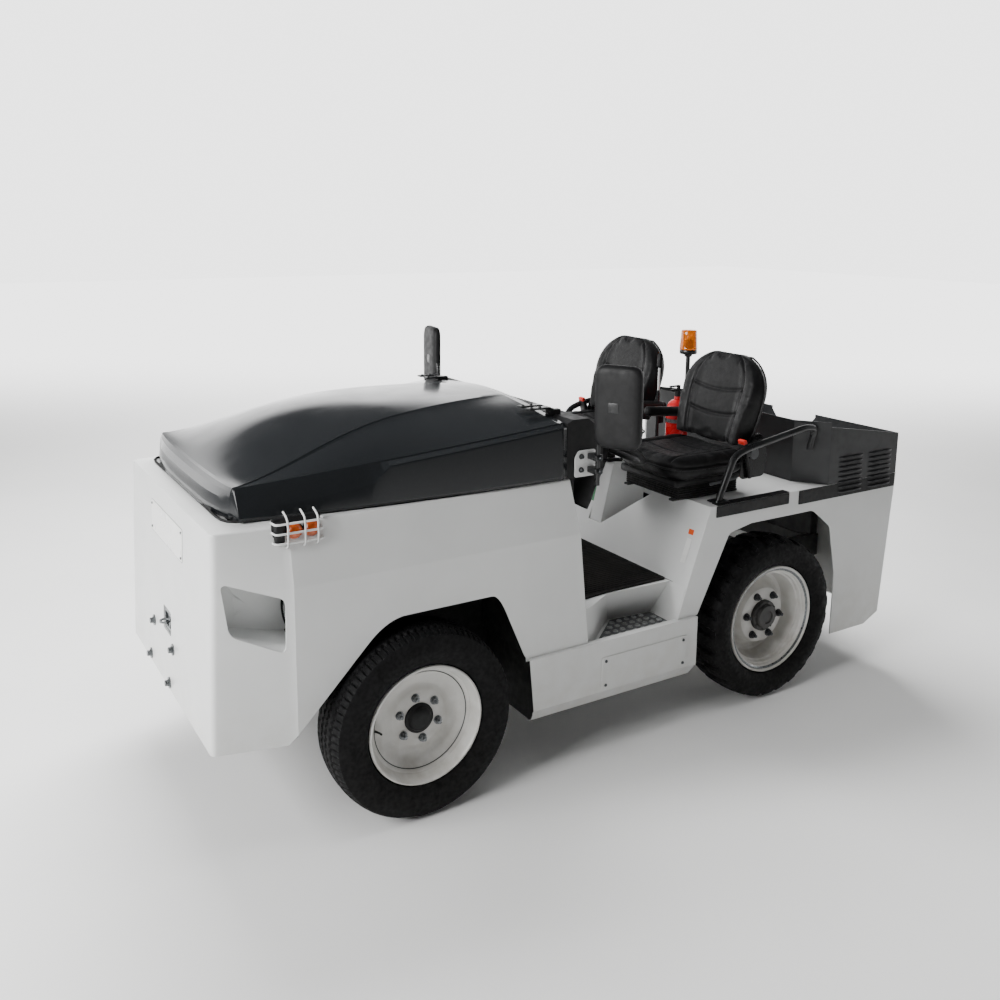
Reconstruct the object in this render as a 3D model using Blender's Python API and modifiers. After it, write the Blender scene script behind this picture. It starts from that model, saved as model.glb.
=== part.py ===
"""Electric airport baggage tug: open cab, two seats, rear-wheel drive, steered front axle.

Frame: metres, +X towards the nose, +Y to the vehicle's left, +Z up. The origin lies on the
ground under the middle of the vehicle's box. Every piece is one closed solid.
"""
import math

import bmesh
import bpy
from mathutils import Euler, Matrix, Vector

# ---------------------------------------------------------------- driving dimensions
BODY_LENGTH = 3.24          # nose plate to rear panel
BODY_WIDTH = 1.28           # over the side panels
WHEELBASE = 1.732
FRONT_OVERHANG = 0.72       # nose plate to front axle
REAR_HITCH_REACH = 0.075    # tow jaw behind the rear panel
FRONT_PIN_REACH = 0.018     # tow pin ahead of the nose plate
GAP = 0.0003                # between pieces that touch
PIVOT_GAP = 0.0005          # between the two halves of a joint
LID_GAP = 0.005             # round a lid that opens

SHEET = 0.006               # body sheet
NOSE_PLATE = 0.030          # ballast plate at the nose
NOSE_BOTTOM_Z = 0.385
NOSE_LEAN = 0.030           # how far the nose plate leans back at its top
NOSE_TAPER_LENGTH = 0.26    # side facet ahead of the front wheel
NOSE_TAPER = 0.063          # how far that facet draws in
BELT_Z = 0.925              # crease along the side, where the sides lean in
DECK_EDGE_Z = 1.130         # top edge of the front body, under the hood
TOP_INSET = 0.040           # how far the sides lean in above the belt
SHELF_DROP = 0.060          # fall of the lamp shelf from the hood to the side
CAB_EDGE_BEHIND = 0.728     # front axle to the front body's rear edge, at sill height
CAB_EDGE_RAKE = 0.105       # its lean, forward for each metre up
HOOD_RIM = 0.035            # width of the rim that the hood closes on

HOOD_SHELL = 0.008
HOOD_REAR_BEHIND = 0.638    # front axle to the hood's rear edge
HOOD_FRONT_GAP = 0.085      # nose plate foot to the hood's front edge
HOOD_CROWN_Z = 1.410        # highest line of the hood
HOOD_NOSE_Z = 1.215         # top of the hood's front roll
HOOD_SHOULDER_REAR_Z = 1.345
HOOD_SHOULDER_FRONT_Z = 1.235
HOOD_HALF_REAR = 0.600
HOOD_HALF_FRONT = 0.530
HOOD_HINGE_Y = 0.44
HINGE_RADIUS = 0.011

FLOOR_Z = 0.600
FLOOR_HALF = 0.550
MAT_THICKNESS = 0.008
STEP_Z = 0.452
STEP_SHEET = 0.005
SILL_PROUD = 0.015          # outer face of the side sill, outboard of the side panels
SILL_TOP_Z = 0.470
SILL_FLANGE = 0.020
SILL_FOLD_Z = 0.262
SILL_BOTTOM_Z = 0.205
SILL_FRONT_BEHIND = 0.448   # front axle to the sill's front end
SILL_REAR_AHEAD = 0.449     # rear axle to its rear end

SEATBOX_AHEAD = 0.547       # rear axle to the foot of the seat box front
SEATBOX_RAKE = 0.345        # its lean, rearward for each metre up
DECK_Z = 0.930
TAIL_LEAN = 0.055           # how far the rear panel leans out at deck height
TAIL_BOTTOM_Z = 0.200
KNEE_Y = 0.270              # outer edge of the sloped foot of the console bay
KNEE_LOW_Z = 0.700
KNEE_LENGTH = 0.335         # of the bay beside the console
CONSOLE_LEFT_Y = 0.000
CONSOLE_WIDTH = 0.090
CONSOLE_TOP_Z = 1.005

BOX_BEHIND = 0.218          # rear axle to the rear box
BOX_FRONT_Z = 1.215
BOX_REAR_Z = 1.105
BOX_CHAMFER = 0.100
BOX_SHEET = 0.004
BOX_NOTCH_HALF = 0.145      # view notch over the rear jaw
BOX_NOTCH_Z = 1.020

FRONT_TYRE_RADIUS = 0.350
FRONT_TYRE_WIDTH = 0.205
FRONT_RIM_RADIUS = 0.2125
FRONT_WHEEL_Y = 0.6025      # middle plane of the front tyre
REAR_TYRE_RADIUS = 0.362
REAR_TYRE_WIDTH = 0.215
REAR_RIM_RADIUS = 0.237
REAR_WHEEL_Y = 0.5600
KINGPIN_Y = 0.440
WHEEL_SWEEP = 0.450         # reach of the steered wheel ahead of and behind its axle
ARCH_TOP_Z = 0.752
KINGPIN_RADIUS = 0.045
KNUCKLE_HEIGHT = 0.118
SPINDLE_RADIUS = 0.030
HUB_FLANGE_RADIUS = 0.078
YOKE_EAR = 0.030
AXLE_HALF = 0.042           # half the height of the front axle beam
AXLE_TUBE_RADIUS = 0.058    # rear axle tubes

SEAT_Y = 0.335
SEAT_WIDTH = 0.470
SEAT_DEPTH = 0.480
SEAT_BASE_HEIGHT = 0.085
CUSHION_HEIGHT = 0.105
BACK_HEIGHT = 0.415
BACK_THICKNESS = 0.100
BACK_RAKE = math.radians(12)

RAIL_RADIUS = 0.0135
MIRROR_POST_Y = 0.640
MIRROR_WIDTH = 0.180
MIRROR_HEIGHT = 0.290
MIRROR_TURN = math.radians(31)
MIRROR_Z = 1.430            # middle of the mirror heads
WHEEL_RIM_RADIUS = 0.175    # steering wheel

# ---------------------------------------------------------------- places that follow
NOSE_X = (BODY_LENGTH + REAR_HITCH_REACH - FRONT_PIN_REACH) / 2
TAIL_X = NOSE_X - BODY_LENGTH
FRONT_AXLE_X = NOSE_X - FRONT_OVERHANG
REAR_AXLE_X = FRONT_AXLE_X - WHEELBASE
SIDE_Y = BODY_WIDTH / 2
SILL_Y = SIDE_Y + SILL_PROUD
CAB_FRONT_X = FRONT_AXLE_X - CAB_EDGE_BEHIND
HOOD_REAR_X = FRONT_AXLE_X - HOOD_REAR_BEHIND
SILL_FRONT_X = FRONT_AXLE_X - SILL_FRONT_BEHIND
SILL_REAR_X = REAR_AXLE_X + SILL_REAR_AHEAD
SEATBOX_X = REAR_AXLE_X + SEATBOX_AHEAD
KNEE_REAR_X = SEATBOX_X - KNEE_LENGTH
BOX_FRONT_X = REAR_AXLE_X - BOX_BEHIND
SEAT_FRONT_X = SEATBOX_X
HINGE_X = HOOD_REAR_X - HINGE_RADIUS - LID_GAP
HINGE_Z = HOOD_SHOULDER_REAR_Z + 0.026
HOOD_FRONT_X = NOSE_X - HOOD_FRONT_GAP
LAMP_X0 = NOSE_X - 0.222
LAMP_X1 = NOSE_X - 0.066
LAMP_Z0 = 0.715
LAMP_Z1 = 0.950
LAMP_DEPTH = 0.110
JAW_HALF = 0.055
JAW_Z = 0.640
JAW_HEIGHT = 0.090
RING_WIRE = 0.003
REAR_WINDOW_HALF = 0.145
REAR_JAW_LOW_Z = 0.330
REAR_JAW_HIGH_Z = 0.560
REAR_JAW_HALF = 0.060
STEERING_X = CAB_FRONT_X - 0.290
STEERING_Z = 1.185
BEACON_X = REAR_AXLE_X - 0.068
BEACON_Y = -0.040
BEACON_Z = 1.480
EXTINGUISHER_X = REAR_AXLE_X + 0.042
EXTINGUISHER_Y = 0.020
RAIL_Y = 0.245
RAIL_THICK = 0.040
RAIL_LOW_Z = REAR_TYRE_RADIUS + AXLE_TUBE_RADIUS + GAP
RAIL_HEIGHT = 0.110
FRONT_DISC_Y = 0.020        # hub face of the front rim, outboard of the tyre's middle
REAR_DISC_Y = 0.030
UP = Vector((0, 0, 1))
TURNED_TO = {"X": Euler((0, math.pi / 2, 0)), "Y": Euler((-math.pi / 2, 0, 0)), "Z": Euler()}
DRAWN_IN = {"XY": Euler(), "XZ": Euler((math.pi / 2, 0, 0)), "YZ": Euler((math.pi / 2, 0, math.pi / 2))}
NORMAL = {"XY": 2, "XZ": 1, "YZ": 0}


# ---------------------------------------------------------------- workshop
def clear_scene():
    for obj in list(bpy.data.objects):
        bpy.data.objects.remove(obj, do_unlink=True)


def new_collection(name):
    group = bpy.data.collections.new(name)
    bpy.context.scene.collection.children.link(group)
    return group


def finish(name, colour, roughness, metallic=0.0, alpha=1.0):
    """A Principled material; colour is an sRGB hex value."""
    channels = [int(colour[i:i + 2], 16) / 255 for i in (1, 3, 5)]
    linear = [c / 12.92 if c <= 0.04045 else ((c + 0.055) / 1.055) ** 2.4 for c in channels]
    mat = bpy.data.materials.new(name)
    mat.use_nodes = True
    shader = mat.node_tree.nodes["Principled BSDF"]
    shader.inputs["Base Color"].default_value = (*linear, 1.0)
    shader.inputs["Roughness"].default_value = roughness
    shader.inputs["Metallic"].default_value = metallic
    shader.inputs["Alpha"].default_value = alpha
    mat.diffuse_color = (*linear, 1.0)
    return mat


def add_mesh(name, mesh, mat, group=None):
    obj = bpy.data.objects.new(name, mesh)
    (group or PARTS).objects.link(obj)
    mesh.materials.clear()
    mesh.materials.append(mat)
    return obj


def prism(name, outline, plane, low, high, mat):
    """A flat outline, drawn in a plane and given its thickness along the plane's normal."""
    curve = bpy.data.curves.new(name, "CURVE")
    curve.dimensions = "2D"
    curve.fill_mode = "BOTH"
    curve.extrude = (high - low) / 2
    spline = curve.splines.new("POLY")
    spline.points.add(len(outline) - 1)
    for point, (u, v) in zip(spline.points, outline):
        point.co = (u, v, 0, 1)
    spline.use_cyclic_u = True
    drawn = bpy.data.objects.new(name + "_outline", curve)
    drawn.rotation_euler = DRAWN_IN[plane]
    drawn.location[NORMAL[plane]] = (low + high) / 2
    return add_mesh(name, mesh_of_curve(drawn), mat)


def tube(name, points, radius, mat, resolution=2, cyclic=False):
    """A round bar or pipe along a list of points."""
    curve = bpy.data.curves.new(name, "CURVE")
    curve.dimensions = "3D"
    curve.bevel_depth = radius
    curve.bevel_resolution = resolution
    curve.use_fill_caps = not cyclic
    spline = curve.splines.new("POLY")
    spline.points.add(len(points) - 1)
    for point, place in zip(spline.points, points):
        point.co = (*place, 1)
    spline.use_cyclic_u = cyclic
    drawn = bpy.data.objects.new(name + "_path", curve)
    return add_mesh(name, mesh_of_curve(drawn), mat)


def mesh_of_curve(drawn):
    """The closed mesh of a curve object, in world space; the curve is then removed."""
    CUTTERS.objects.link(drawn)
    bpy.context.view_layer.update()
    evaluated = drawn.evaluated_get(bpy.context.evaluated_depsgraph_get())
    mesh = bpy.data.meshes.new_from_object(evaluated)
    mesh.transform(drawn.matrix_world)
    welded = bmesh.new()
    welded.from_mesh(mesh)
    bmesh.ops.remove_doubles(welded, verts=welded.verts, dist=0.00001)
    bmesh.ops.recalc_face_normals(welded, faces=welded.faces)
    welded.to_mesh(mesh)
    welded.free()
    bpy.data.objects.remove(drawn, do_unlink=True)
    return mesh


def block(name, low, high, mat, round_edges=0.0, segments=1):
    """A box between two corners, with its edges rounded if asked."""
    size = [h - l for l, h in zip(low, high)]
    middle = [(h + l) / 2 for l, h in zip(low, high)]
    shape = bmesh.new()
    matrix = Matrix.Translation(middle) @ Matrix.Diagonal((*size, 1))
    bmesh.ops.create_cube(shape, size=1, matrix=matrix)
    mesh = bpy.data.meshes.new(name)
    shape.to_mesh(mesh)
    shape.free()
    obj = add_mesh(name, mesh, mat)
    if round_edges:
        bevel(obj, round_edges, segments)
    return obj


def rod(name, start, end, radius, mat, sides=20):
    """A solid cylinder between two points."""
    start, end = Vector(start), Vector(end)
    direction = end - start
    turn = direction.to_track_quat("Z", "Y").to_matrix().to_4x4()
    shape = bmesh.new()
    matrix = Matrix.Translation((start + end) / 2) @ turn
    bmesh.ops.create_cone(shape, cap_ends=True, segments=sides, radius1=radius, radius2=radius,
                          depth=direction.length, matrix=matrix)
    mesh = bpy.data.meshes.new(name)
    shape.to_mesh(mesh)
    shape.free()
    return add_mesh(name, mesh, mat)


def turned(name, profile, axis, place, mat, steps=32):
    """A profile of (radius, height) points turned about an axis through a place.

    The profile runs from the axis or its top edge down the outer side. A profile that
    doesn't meet the axis is closed into a ring.
    """
    ring = profile[0][0] > 0
    mesh = bpy.data.meshes.new(name)
    edges = [(i, i + 1) for i in range(len(profile) - 1)]
    if ring:
        edges.append((len(profile) - 1, 0))
    mesh.from_pydata([(r, 0, h) for r, h in profile], edges, [])
    obj = add_mesh(name, mesh, mat)
    obj.rotation_euler = TURNED_TO[axis]
    obj.location = place
    screw = obj.modifiers.new("turn", "SCREW")
    screw.steps = screw.render_steps = steps
    screw.use_merge_vertices = True
    screw.merge_threshold = 0.00001
    screw.use_smooth_shade = True
    return obj


def loft(name, rings, mat):
    """A solid through rings of points that match one to one, with flat ends."""
    shape = bmesh.new()
    rows = [[shape.verts.new(point) for point in ring] for ring in rings]
    count = len(rows[0])
    for row, following in zip(rows, rows[1:]):
        for i in range(count):
            j = (i + 1) % count
            shape.faces.new((row[i], row[j], following[j], following[i]))
    shape.faces.new(rows[0])
    shape.faces.new(rows[-1])
    bmesh.ops.triangulate(shape, faces=shape.faces)
    bmesh.ops.recalc_face_normals(shape, faces=shape.faces)
    mesh = bpy.data.meshes.new(name)
    shape.to_mesh(mesh)
    shape.free()
    return add_mesh(name, mesh, mat)


def bevel(obj, width, segments=2):
    modifier = obj.modifiers.new("round", "BEVEL")
    modifier.width = width
    modifier.segments = segments
    modifier.limit_method = "ANGLE"
    modifier.angle_limit = math.radians(40)


def combine(obj, operation, *others):
    """Cut from, or join to, a piece; the other solids become guides."""
    for other in others:
        modifier = obj.modifiers.new(other.name, "BOOLEAN")
        modifier.operation = operation
        modifier.object = other
        modifier.solver = "EXACT"
        for group in list(other.users_collection):
            group.objects.unlink(other)
        CUTTERS.objects.link(other)
        other.hide_render = True
        other.display_type = "WIRE"


def cut(obj, *others):
    combine(obj, "DIFFERENCE", *others)


def join(obj, *others):
    combine(obj, "UNION", *others)


def pivot(name, place):
    """An empty on a joint's axis, which carries the moving pieces."""
    empty = bpy.data.objects.new(name, None)
    empty.location = place
    empty.empty_display_size = 0.1
    PARTS.objects.link(empty)
    return empty


def carry(empty, *objects):
    """Parent pieces to a joint's empty and leave them where they are."""
    for obj in objects:
        obj.parent = empty
        obj.matrix_parent_inverse = Matrix.Translation(-Vector(empty.location))


def rounded(outline, radii, steps=4):
    """The outline with some corners replaced by arcs; radii is {corner number: radius}."""
    result = []
    for i, corner in enumerate(outline):
        here = Vector(corner)
        if i not in radii:
            result.append(tuple(here))
            continue
        before = (Vector(outline[i - 1]) - here).normalized()
        after = (Vector(outline[(i + 1) % len(outline)]) - here).normalized()
        half = before.angle(after) / 2
        reach = radii[i] / math.tan(half)
        centre = here + (before + after).normalized() * radii[i] / math.sin(half)
        start = here + before * reach - centre
        end = here + after * reach - centre
        sweep = start.angle_signed(end)
        for k in range(steps + 1):
            turn = Matrix.Rotation(-sweep * k / steps, 2)
            result.append(tuple(centre + turn @ start))
    return result


def thick_line(points, thickness, side=1):
    """A closed outline that follows an open line of points at a thickness to one side."""
    line = [Vector(p) for p in points]
    shifted = []
    for i, here in enumerate(line):
        ahead = (line[i + 1] - here).normalized() if i + 1 < len(line) else None
        behind = (here - line[i - 1]).normalized() if i else None
        along = ((ahead or behind) + (behind or ahead)).normalized()
        normal = Vector((-along.y, along.x)) * side
        spread = normal.dot(Vector((-(ahead or behind).y, (ahead or behind).x)) * side)
        shifted.append(here + normal * thickness / spread)
    return [tuple(p) for p in line] + [tuple(p) for p in reversed(shifted)]


def on_sides():
    """The two sides of the vehicle, as a name and a sign."""
    return (("left", 1), ("right", -1))


# ---------------------------------------------------------------- front body
def cab_edge_x(z):
    """The rear edge of the front body at a height."""
    return CAB_FRONT_X + (z - SILL_TOP_Z) * CAB_EDGE_RAKE


def nose_x(z):
    """The face of the nose plate at a height."""
    return NOSE_X - NOSE_LEAN * (z - NOSE_BOTTOM_Z) / (DECK_EDGE_Z - NOSE_BOTTOM_Z)


def front_rings(inset, nose_inset, bottom, rear):
    """The front body's rings of (x, y, z) points, drawn in by the sheet for its inside."""
    half = SIDE_Y - inset
    top = DECK_EDGE_Z - inset
    draw = NOSE_TAPER
    facet_x = NOSE_X - NOSE_TAPER_LENGTH
    stations = (
        # x at a height, half width at the foot, belt height and half, shoulder height and half
        (rear, half, BELT_Z, half, top, half - TOP_INSET),
        (lambda z: facet_x - 0.13, half, BELT_Z, half, top, half - TOP_INSET),
        (lambda z: facet_x, half, BELT_Z + 0.02, half, top - SHELF_DROP / 2, half - 0.012),
        (lambda z: facet_x + 0.035, half, BELT_Z + 0.14, half - 0.006, top - 0.04, half - 0.02),
        (lambda z: nose_x(z) - nose_inset, half - draw, top - 0.012, half - draw,
         top, half - draw - 0.03),
    )
    rings = []
    for x_at, foot, belt_z, belt, top_z, top_half in stations:
        side = [(foot, bottom), (belt, belt_z), (top_half, top_z)]
        ring = [(x_at(z), y, z) for y, z in side]
        ring.append((x_at(top), top_half - 0.05, top))
        ring += [(x, -y, z) for x, y, z in reversed(ring)]
        rings.append(ring)
    return rings


def front_arch(clearance=0.0):
    """The front wheel arch in side view, with straight flanks and a flat, rounded top."""
    x = FRONT_AXLE_X
    grow = clearance
    points = [(x - 0.470 - grow, NOSE_BOTTOM_Z - 0.2), (x - 0.443 - grow, SILL_TOP_Z + 0.01),
              (x - 0.325 - grow, ARCH_TOP_Z + grow), (x + 0.130 + grow, ARCH_TOP_Z + grow),
              (x + 0.480 + grow, NOSE_BOTTOM_Z + 0.005), (x + 0.480 + grow, NOSE_BOTTOM_Z - 0.2)]
    return rounded(points, {2: 0.07, 3: 0.09})


def build_front_body():
    body = loft("front_body", front_rings(0, 0, NOSE_BOTTOM_Z, cab_edge_x), WHITE)
    inside = loft("front_body_inside", front_rings(SHEET, NOSE_PLATE, NOSE_BOTTOM_Z - 0.1,
                                                   lambda z: cab_edge_x(z) - 0.1), WHITE)
    arch = prism("front_arch", front_arch(), "XZ", -1, 1, WHITE)
    rear, front = HOOD_REAR_X + HOOD_RIM, HOOD_FRONT_X - HOOD_RIM
    opening = prism("hood_opening", [(rear, HOOD_HALF_REAR - HOOD_RIM * 1.6),
                                     (rear, -HOOD_HALF_REAR + HOOD_RIM * 1.6),
                                     (front, -HOOD_HALF_FRONT + HOOD_RIM * 1.6),
                                     (front, HOOD_HALF_FRONT - HOOD_RIM * 1.6)],
                    "XY", DECK_EDGE_Z - 0.1, DECK_EDGE_Z + 0.1, WHITE)
    footwell = block("footwell_cut", (-0.1, -1, NOSE_BOTTOM_Z - 0.1),
                     (SILL_FRONT_X, 1, SILL_TOP_Z + GAP), WHITE)
    cut(body, inside, arch, opening, footwell)
    for side, sign in on_sides():
        window = block("lamp_window_" + side, (LAMP_X0, sign * SIDE_Y - 0.12, LAMP_Z0),
                       (LAMP_X1, sign * SIDE_Y + 0.12, LAMP_Z1), WHITE)
        cut(body, window)
    slot = block("front_jaw_slot", (NOSE_X - 0.2, -JAW_HALF, JAW_Z - JAW_HEIGHT / 2),
                 (NOSE_X + 0.1, JAW_HALF, JAW_Z + JAW_HEIGHT / 2), WHITE)
    cut(body, slot)
    return body


def build_headlamps():
    """Each lamp sits in a pan that is open through the window in the side facet."""
    for side, sign in on_sides():
        outer_y = SIDE_Y
        inner_y = outer_y - NOSE_TAPER - LAMP_DEPTH
        low = (LAMP_X0 - 0.006, min(sign * inner_y, sign * outer_y), LAMP_Z0 - 0.006)
        high = (LAMP_X1 + 0.006, max(sign * inner_y, sign * outer_y), LAMP_Z1 + 0.006)
        pan = block("headlamp_" + side, low, high, BLACK_PLASTIC)
        hollow_y = sorted((sign * (inner_y + 0.005), sign * (outer_y + 0.05)))
        hollow = block("headlamp_hollow_" + side, (LAMP_X0, hollow_y[0], LAMP_Z0),
                       (LAMP_X1, hollow_y[1], LAMP_Z1), BLACK_PLASTIC)
        middle_z = (LAMP_Z0 + LAMP_Z1) / 2
        lamp_y = sign * (inner_y + 0.075)
        lamp = rod("headlamp_body_" + side, (LAMP_X0 - 0.003, lamp_y, middle_z),
                   (LAMP_X0 + 0.060, lamp_y, middle_z), 0.046, BLACK_PLASTIC)
        skin = loft("headlamp_skin_" + side, front_rings(SHEET + GAP, NOSE_PLATE + GAP, 0.3, cab_edge_x),
                    BLACK_PLASTIC)
        cut(pan, hollow)
        join(pan, lamp)
        combine(pan, "INTERSECT", skin)


def build_turn_lamps():
    """Direction lamps on the shelf beside the hood's front corners."""
    for side, sign in on_sides():
        x = NOSE_X - 0.275
        y = sorted((sign * 0.578, sign * 0.628))
        lamp = block("turn_lamp_" + side, (x - 0.055, y[0], DECK_EDGE_Z - 0.080),
                     (x + 0.055, y[1], DECK_EDGE_Z + 0.030), AMBER)
        shelf = loft("lamp_shelf_" + side, front_rings(0, 0, NOSE_BOTTOM_Z, cab_edge_x), AMBER)
        shelf.location.z = GAP
        cut(lamp, shelf)


def hood_height(along, across):
    """Height of the hood's outer skin.

    along runs from 0 at the rear to 1 at the front; across from 0 on the middle line to 1
    on the shoulder. The crown is a long flat arch that dips into the front roll.
    """
    shoulder = HOOD_SHOULDER_REAR_Z + (HOOD_SHOULDER_FRONT_Z - HOOD_SHOULDER_REAR_Z) * along
    dip = max(0.0, (along - 0.45) / 0.55)
    crown = HOOD_CROWN_Z - (HOOD_CROWN_Z - HOOD_NOSE_Z) * dip ** 3 - 0.012 * (1 - along) ** 4
    return crown + (shoulder - crown) * across ** 3


def build_hood():
    """A crowned lid: skin from a grid of heights, with its side walls, then its thickness."""
    skin = bmesh.new()
    base = DECK_EDGE_Z + LID_GAP
    columns, half_rows = 12, 5
    grid = []
    for i in range(columns + 1):
        along = i / columns
        x = HOOD_REAR_X + (HOOD_FRONT_X - 0.05 - HOOD_REAR_X) * along
        half = HOOD_HALF_REAR + (HOOD_HALF_FRONT - HOOD_HALF_REAR) * along ** 2
        column = []
        for j in range(-half_rows, half_rows + 1):
            across = abs(j) / half_rows
            y = math.copysign((half - 0.035) * across, j)
            column.append((x, y, hood_height(along, across)))
        sign_edges = ((x, -half, base), (x, half, base))
        grid.append([sign_edges[0], *column, sign_edges[1]])
    front = []
    for x, y, z in grid[-1]:
        front.append((HOOD_FRONT_X - 0.055 * (y / HOOD_HALF_FRONT) ** 4, y * 0.985, base))
    grid.append(front)
    rows = [[skin.verts.new(point) for point in column] for column in grid]
    for row, following in zip(rows, rows[1:]):
        for j in range(len(row) - 1):
            skin.faces.new((row[j], following[j], following[j + 1], row[j + 1]))
    bmesh.ops.recalc_face_normals(skin, faces=skin.faces)
    mesh = bpy.data.meshes.new("hood")
    skin.to_mesh(mesh)
    skin.free()
    hood = add_mesh("hood", mesh, SMOKED)
    shell = hood.modifiers.new("thickness", "SOLIDIFY")
    shell.thickness = HOOD_SHELL
    shell.offset = -1
    shell.use_even_offset = True
    for sign in (1, -1):
        eye_y = sorted((sign * HOOD_HINGE_Y, sign * (HOOD_HINGE_Y - 0.03)))
        eye = rod("hood_eye_%d" % sign, (HINGE_X, eye_y[0], HINGE_Z), (HINGE_X, eye_y[1], HINGE_Z),
                  HINGE_RADIUS, SMOKED, 16)
        strap = block("hood_strap_%d" % sign, (HINGE_X, eye_y[0], HINGE_Z - 0.010),
                      (HINGE_X + 0.06, eye_y[1], HINGE_Z + 0.008), SMOKED)
        join(hood, eye, strap)
    axis = pivot("hood_hinge_axis", (HINGE_X, 0, HINGE_Z))
    carry(axis, hood)
    return hood


def build_cowl():
    """Dash and cowl: a dark bridge across the rear of the front body."""
    top = HINGE_Z - 0.016
    x1 = HOOD_REAR_X - LID_GAP
    outline = [(x1 - 0.030, top), (x1 - 0.002, top - 0.012), (x1 - 0.002, DECK_EDGE_Z + 0.004),
               (cab_edge_x(DECK_EDGE_Z) - 0.10, DECK_EDGE_Z + 0.004),
               (cab_edge_x(DECK_EDGE_Z) - 0.16, DECK_EDGE_Z + 0.03),
               (cab_edge_x(DECK_EDGE_Z) - 0.15, top - 0.05), (x1 - 0.10, top)]
    half = HOOD_HALF_REAR - 0.012
    cowl = prism("dashboard", outline, "XZ", -half, half, BLACK_PLASTIC)
    for sign in (1, -1):
        start = sign * (HOOD_HINGE_Y + PIVOT_GAP)
        barrel = rod("hinge_barrel_%d" % sign, (HINGE_X, start, HINGE_Z),
                     (HINGE_X, start + sign * 0.03, HINGE_Z), HINGE_RADIUS, BLACK_PLASTIC, 16)
        ear_y = sorted((start + sign * 0.004, start + sign * 0.026))
        ear = block("hinge_ear_%d" % sign, (HINGE_X - 0.045, ear_y[0], top - 0.02),
                    (HINGE_X, ear_y[1], HINGE_Z + 0.004), BLACK_PLASTIC)
        join(cowl, ear, barrel)
    return cowl


def build_bulkhead():
    """The wall between the nose bay and the cab, with the toe board."""
    top = DECK_EDGE_Z - SHEET - GAP
    x = cab_edge_x(DECK_EDGE_Z) - 0.012
    line = [(x, top), (x, 0.86), (CAB_FRONT_X + 0.02, FLOOR_Z + 0.10),
            (CAB_FRONT_X + 0.02, FLOOR_Z + GAP)]
    half = SIDE_Y - TOP_INSET - SHEET - GAP
    return prism("bulkhead", thick_line(line, SHEET), "XZ", -half, half, BLACK_PLASTIC)


def build_wheel_liners():
    """Inner arches over the front wheels."""
    x, reach = FRONT_AXLE_X, WHEEL_SWEEP
    line = [(x - reach, SILL_TOP_Z + 0.01), (x - reach, ARCH_TOP_Z - 0.05),
            (x - reach + 0.06, ARCH_TOP_Z + 0.006), (x + reach - 0.06, ARCH_TOP_Z + 0.006),
            (x + reach, ARCH_TOP_Z - 0.05), (x + reach, NOSE_BOTTOM_Z + 0.02)]
    outline = thick_line(line, 0.004, 1)
    for side, sign in on_sides():
        y = sorted((sign * 0.300, sign * (SIDE_Y - SHEET - GAP)))
        prism("wheel_liner_" + side, outline, "XZ", y[0], y[1], BLACK_PLASTIC)


# ---------------------------------------------------------------- cab
def seat_box_x(z):
    """The front face of the seat box at a height."""
    return SEATBOX_X - (z - SILL_TOP_Z) * SEATBOX_RAKE


def build_floor():
    """The floor pan, folded down to a step on each side."""
    front = CAB_FRONT_X + 0.03
    rear = seat_box_x(FLOOR_Z - STEP_SHEET) + GAP
    half = SILL_Y - SILL_FLANGE - GAP
    line = [(-half, STEP_Z), (-FLOOR_HALF, STEP_Z), (-FLOOR_HALF, FLOOR_Z),
            (FLOOR_HALF, FLOOR_Z), (FLOOR_HALF, STEP_Z), (half, STEP_Z)]
    return prism("floor_pan", thick_line(line, STEP_SHEET, -1), "YZ", rear, front, WHITE)


def build_mat():
    rear = seat_box_x(FLOOR_Z) + 0.002
    outline = [(rear, -FLOOR_HALF + 0.004), (CAB_FRONT_X - 0.01, -FLOOR_HALF + 0.004),
               (CAB_FRONT_X - 0.01, FLOOR_HALF - 0.004), (rear, FLOOR_HALF - 0.004)]
    return prism("floor_mat", outline, "XY", FLOOR_Z + GAP, FLOOR_Z + GAP + MAT_THICKNESS, RUBBER)


def build_sills():
    """Side sills: a face plate with a fold below and a flange above."""
    line = [(SILL_Y - 0.060, SILL_BOTTOM_Z), (SILL_Y, SILL_FOLD_Z), (SILL_Y, SILL_TOP_Z),
            (SILL_Y - SILL_FLANGE, SILL_TOP_Z)]
    for side, sign in on_sides():
        outline = [(sign * y, z) for y, z in thick_line(line, SHEET, 1)]
        prism("side_sill_" + side, outline, "YZ", SILL_REAR_X, SILL_FRONT_X, WHITE)


# ---------------------------------------------------------------- rear body
def rear_arch(grow=0.0):
    x = REAR_AXLE_X
    points = [(x + 0.400 + grow, 0.1), (x + 0.440 + grow, SILL_TOP_Z - 0.005),
              (x + 0.275 + grow, 0.800 + grow), (x + 0.150 + grow, 0.824 + grow),
              (x - 0.230 - grow, 0.824 + grow), (x - 0.350 - grow, 0.730 + grow),
              (x - 0.400 - grow, 0.500), (x - 0.400 - grow, 0.1)]
    return rounded(points, {2: 0.03, 4: 0.06, 5: 0.05}, 3)


def rear_outline(inset, bottom):
    """The rear body in side view; inset draws it in for the inside."""
    tail_top = TAIL_X + inset
    front_foot = SILL_TOP_Z + GAP if bottom is None else bottom
    rear_foot = TAIL_BOTTOM_Z if bottom is None else bottom
    return [(seat_box_x(SILL_TOP_Z) - inset, front_foot),
            (seat_box_x(DECK_Z) - inset, DECK_Z - inset),
            (tail_top, DECK_Z - inset),
            (tail_top + TAIL_LEAN, TAIL_BOTTOM_Z + 0.045),
            (tail_top + TAIL_LEAN + 0.095, rear_foot),
            (REAR_AXLE_X - 0.30, rear_foot), (REAR_AXLE_X + 0.30, front_foot)]


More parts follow.
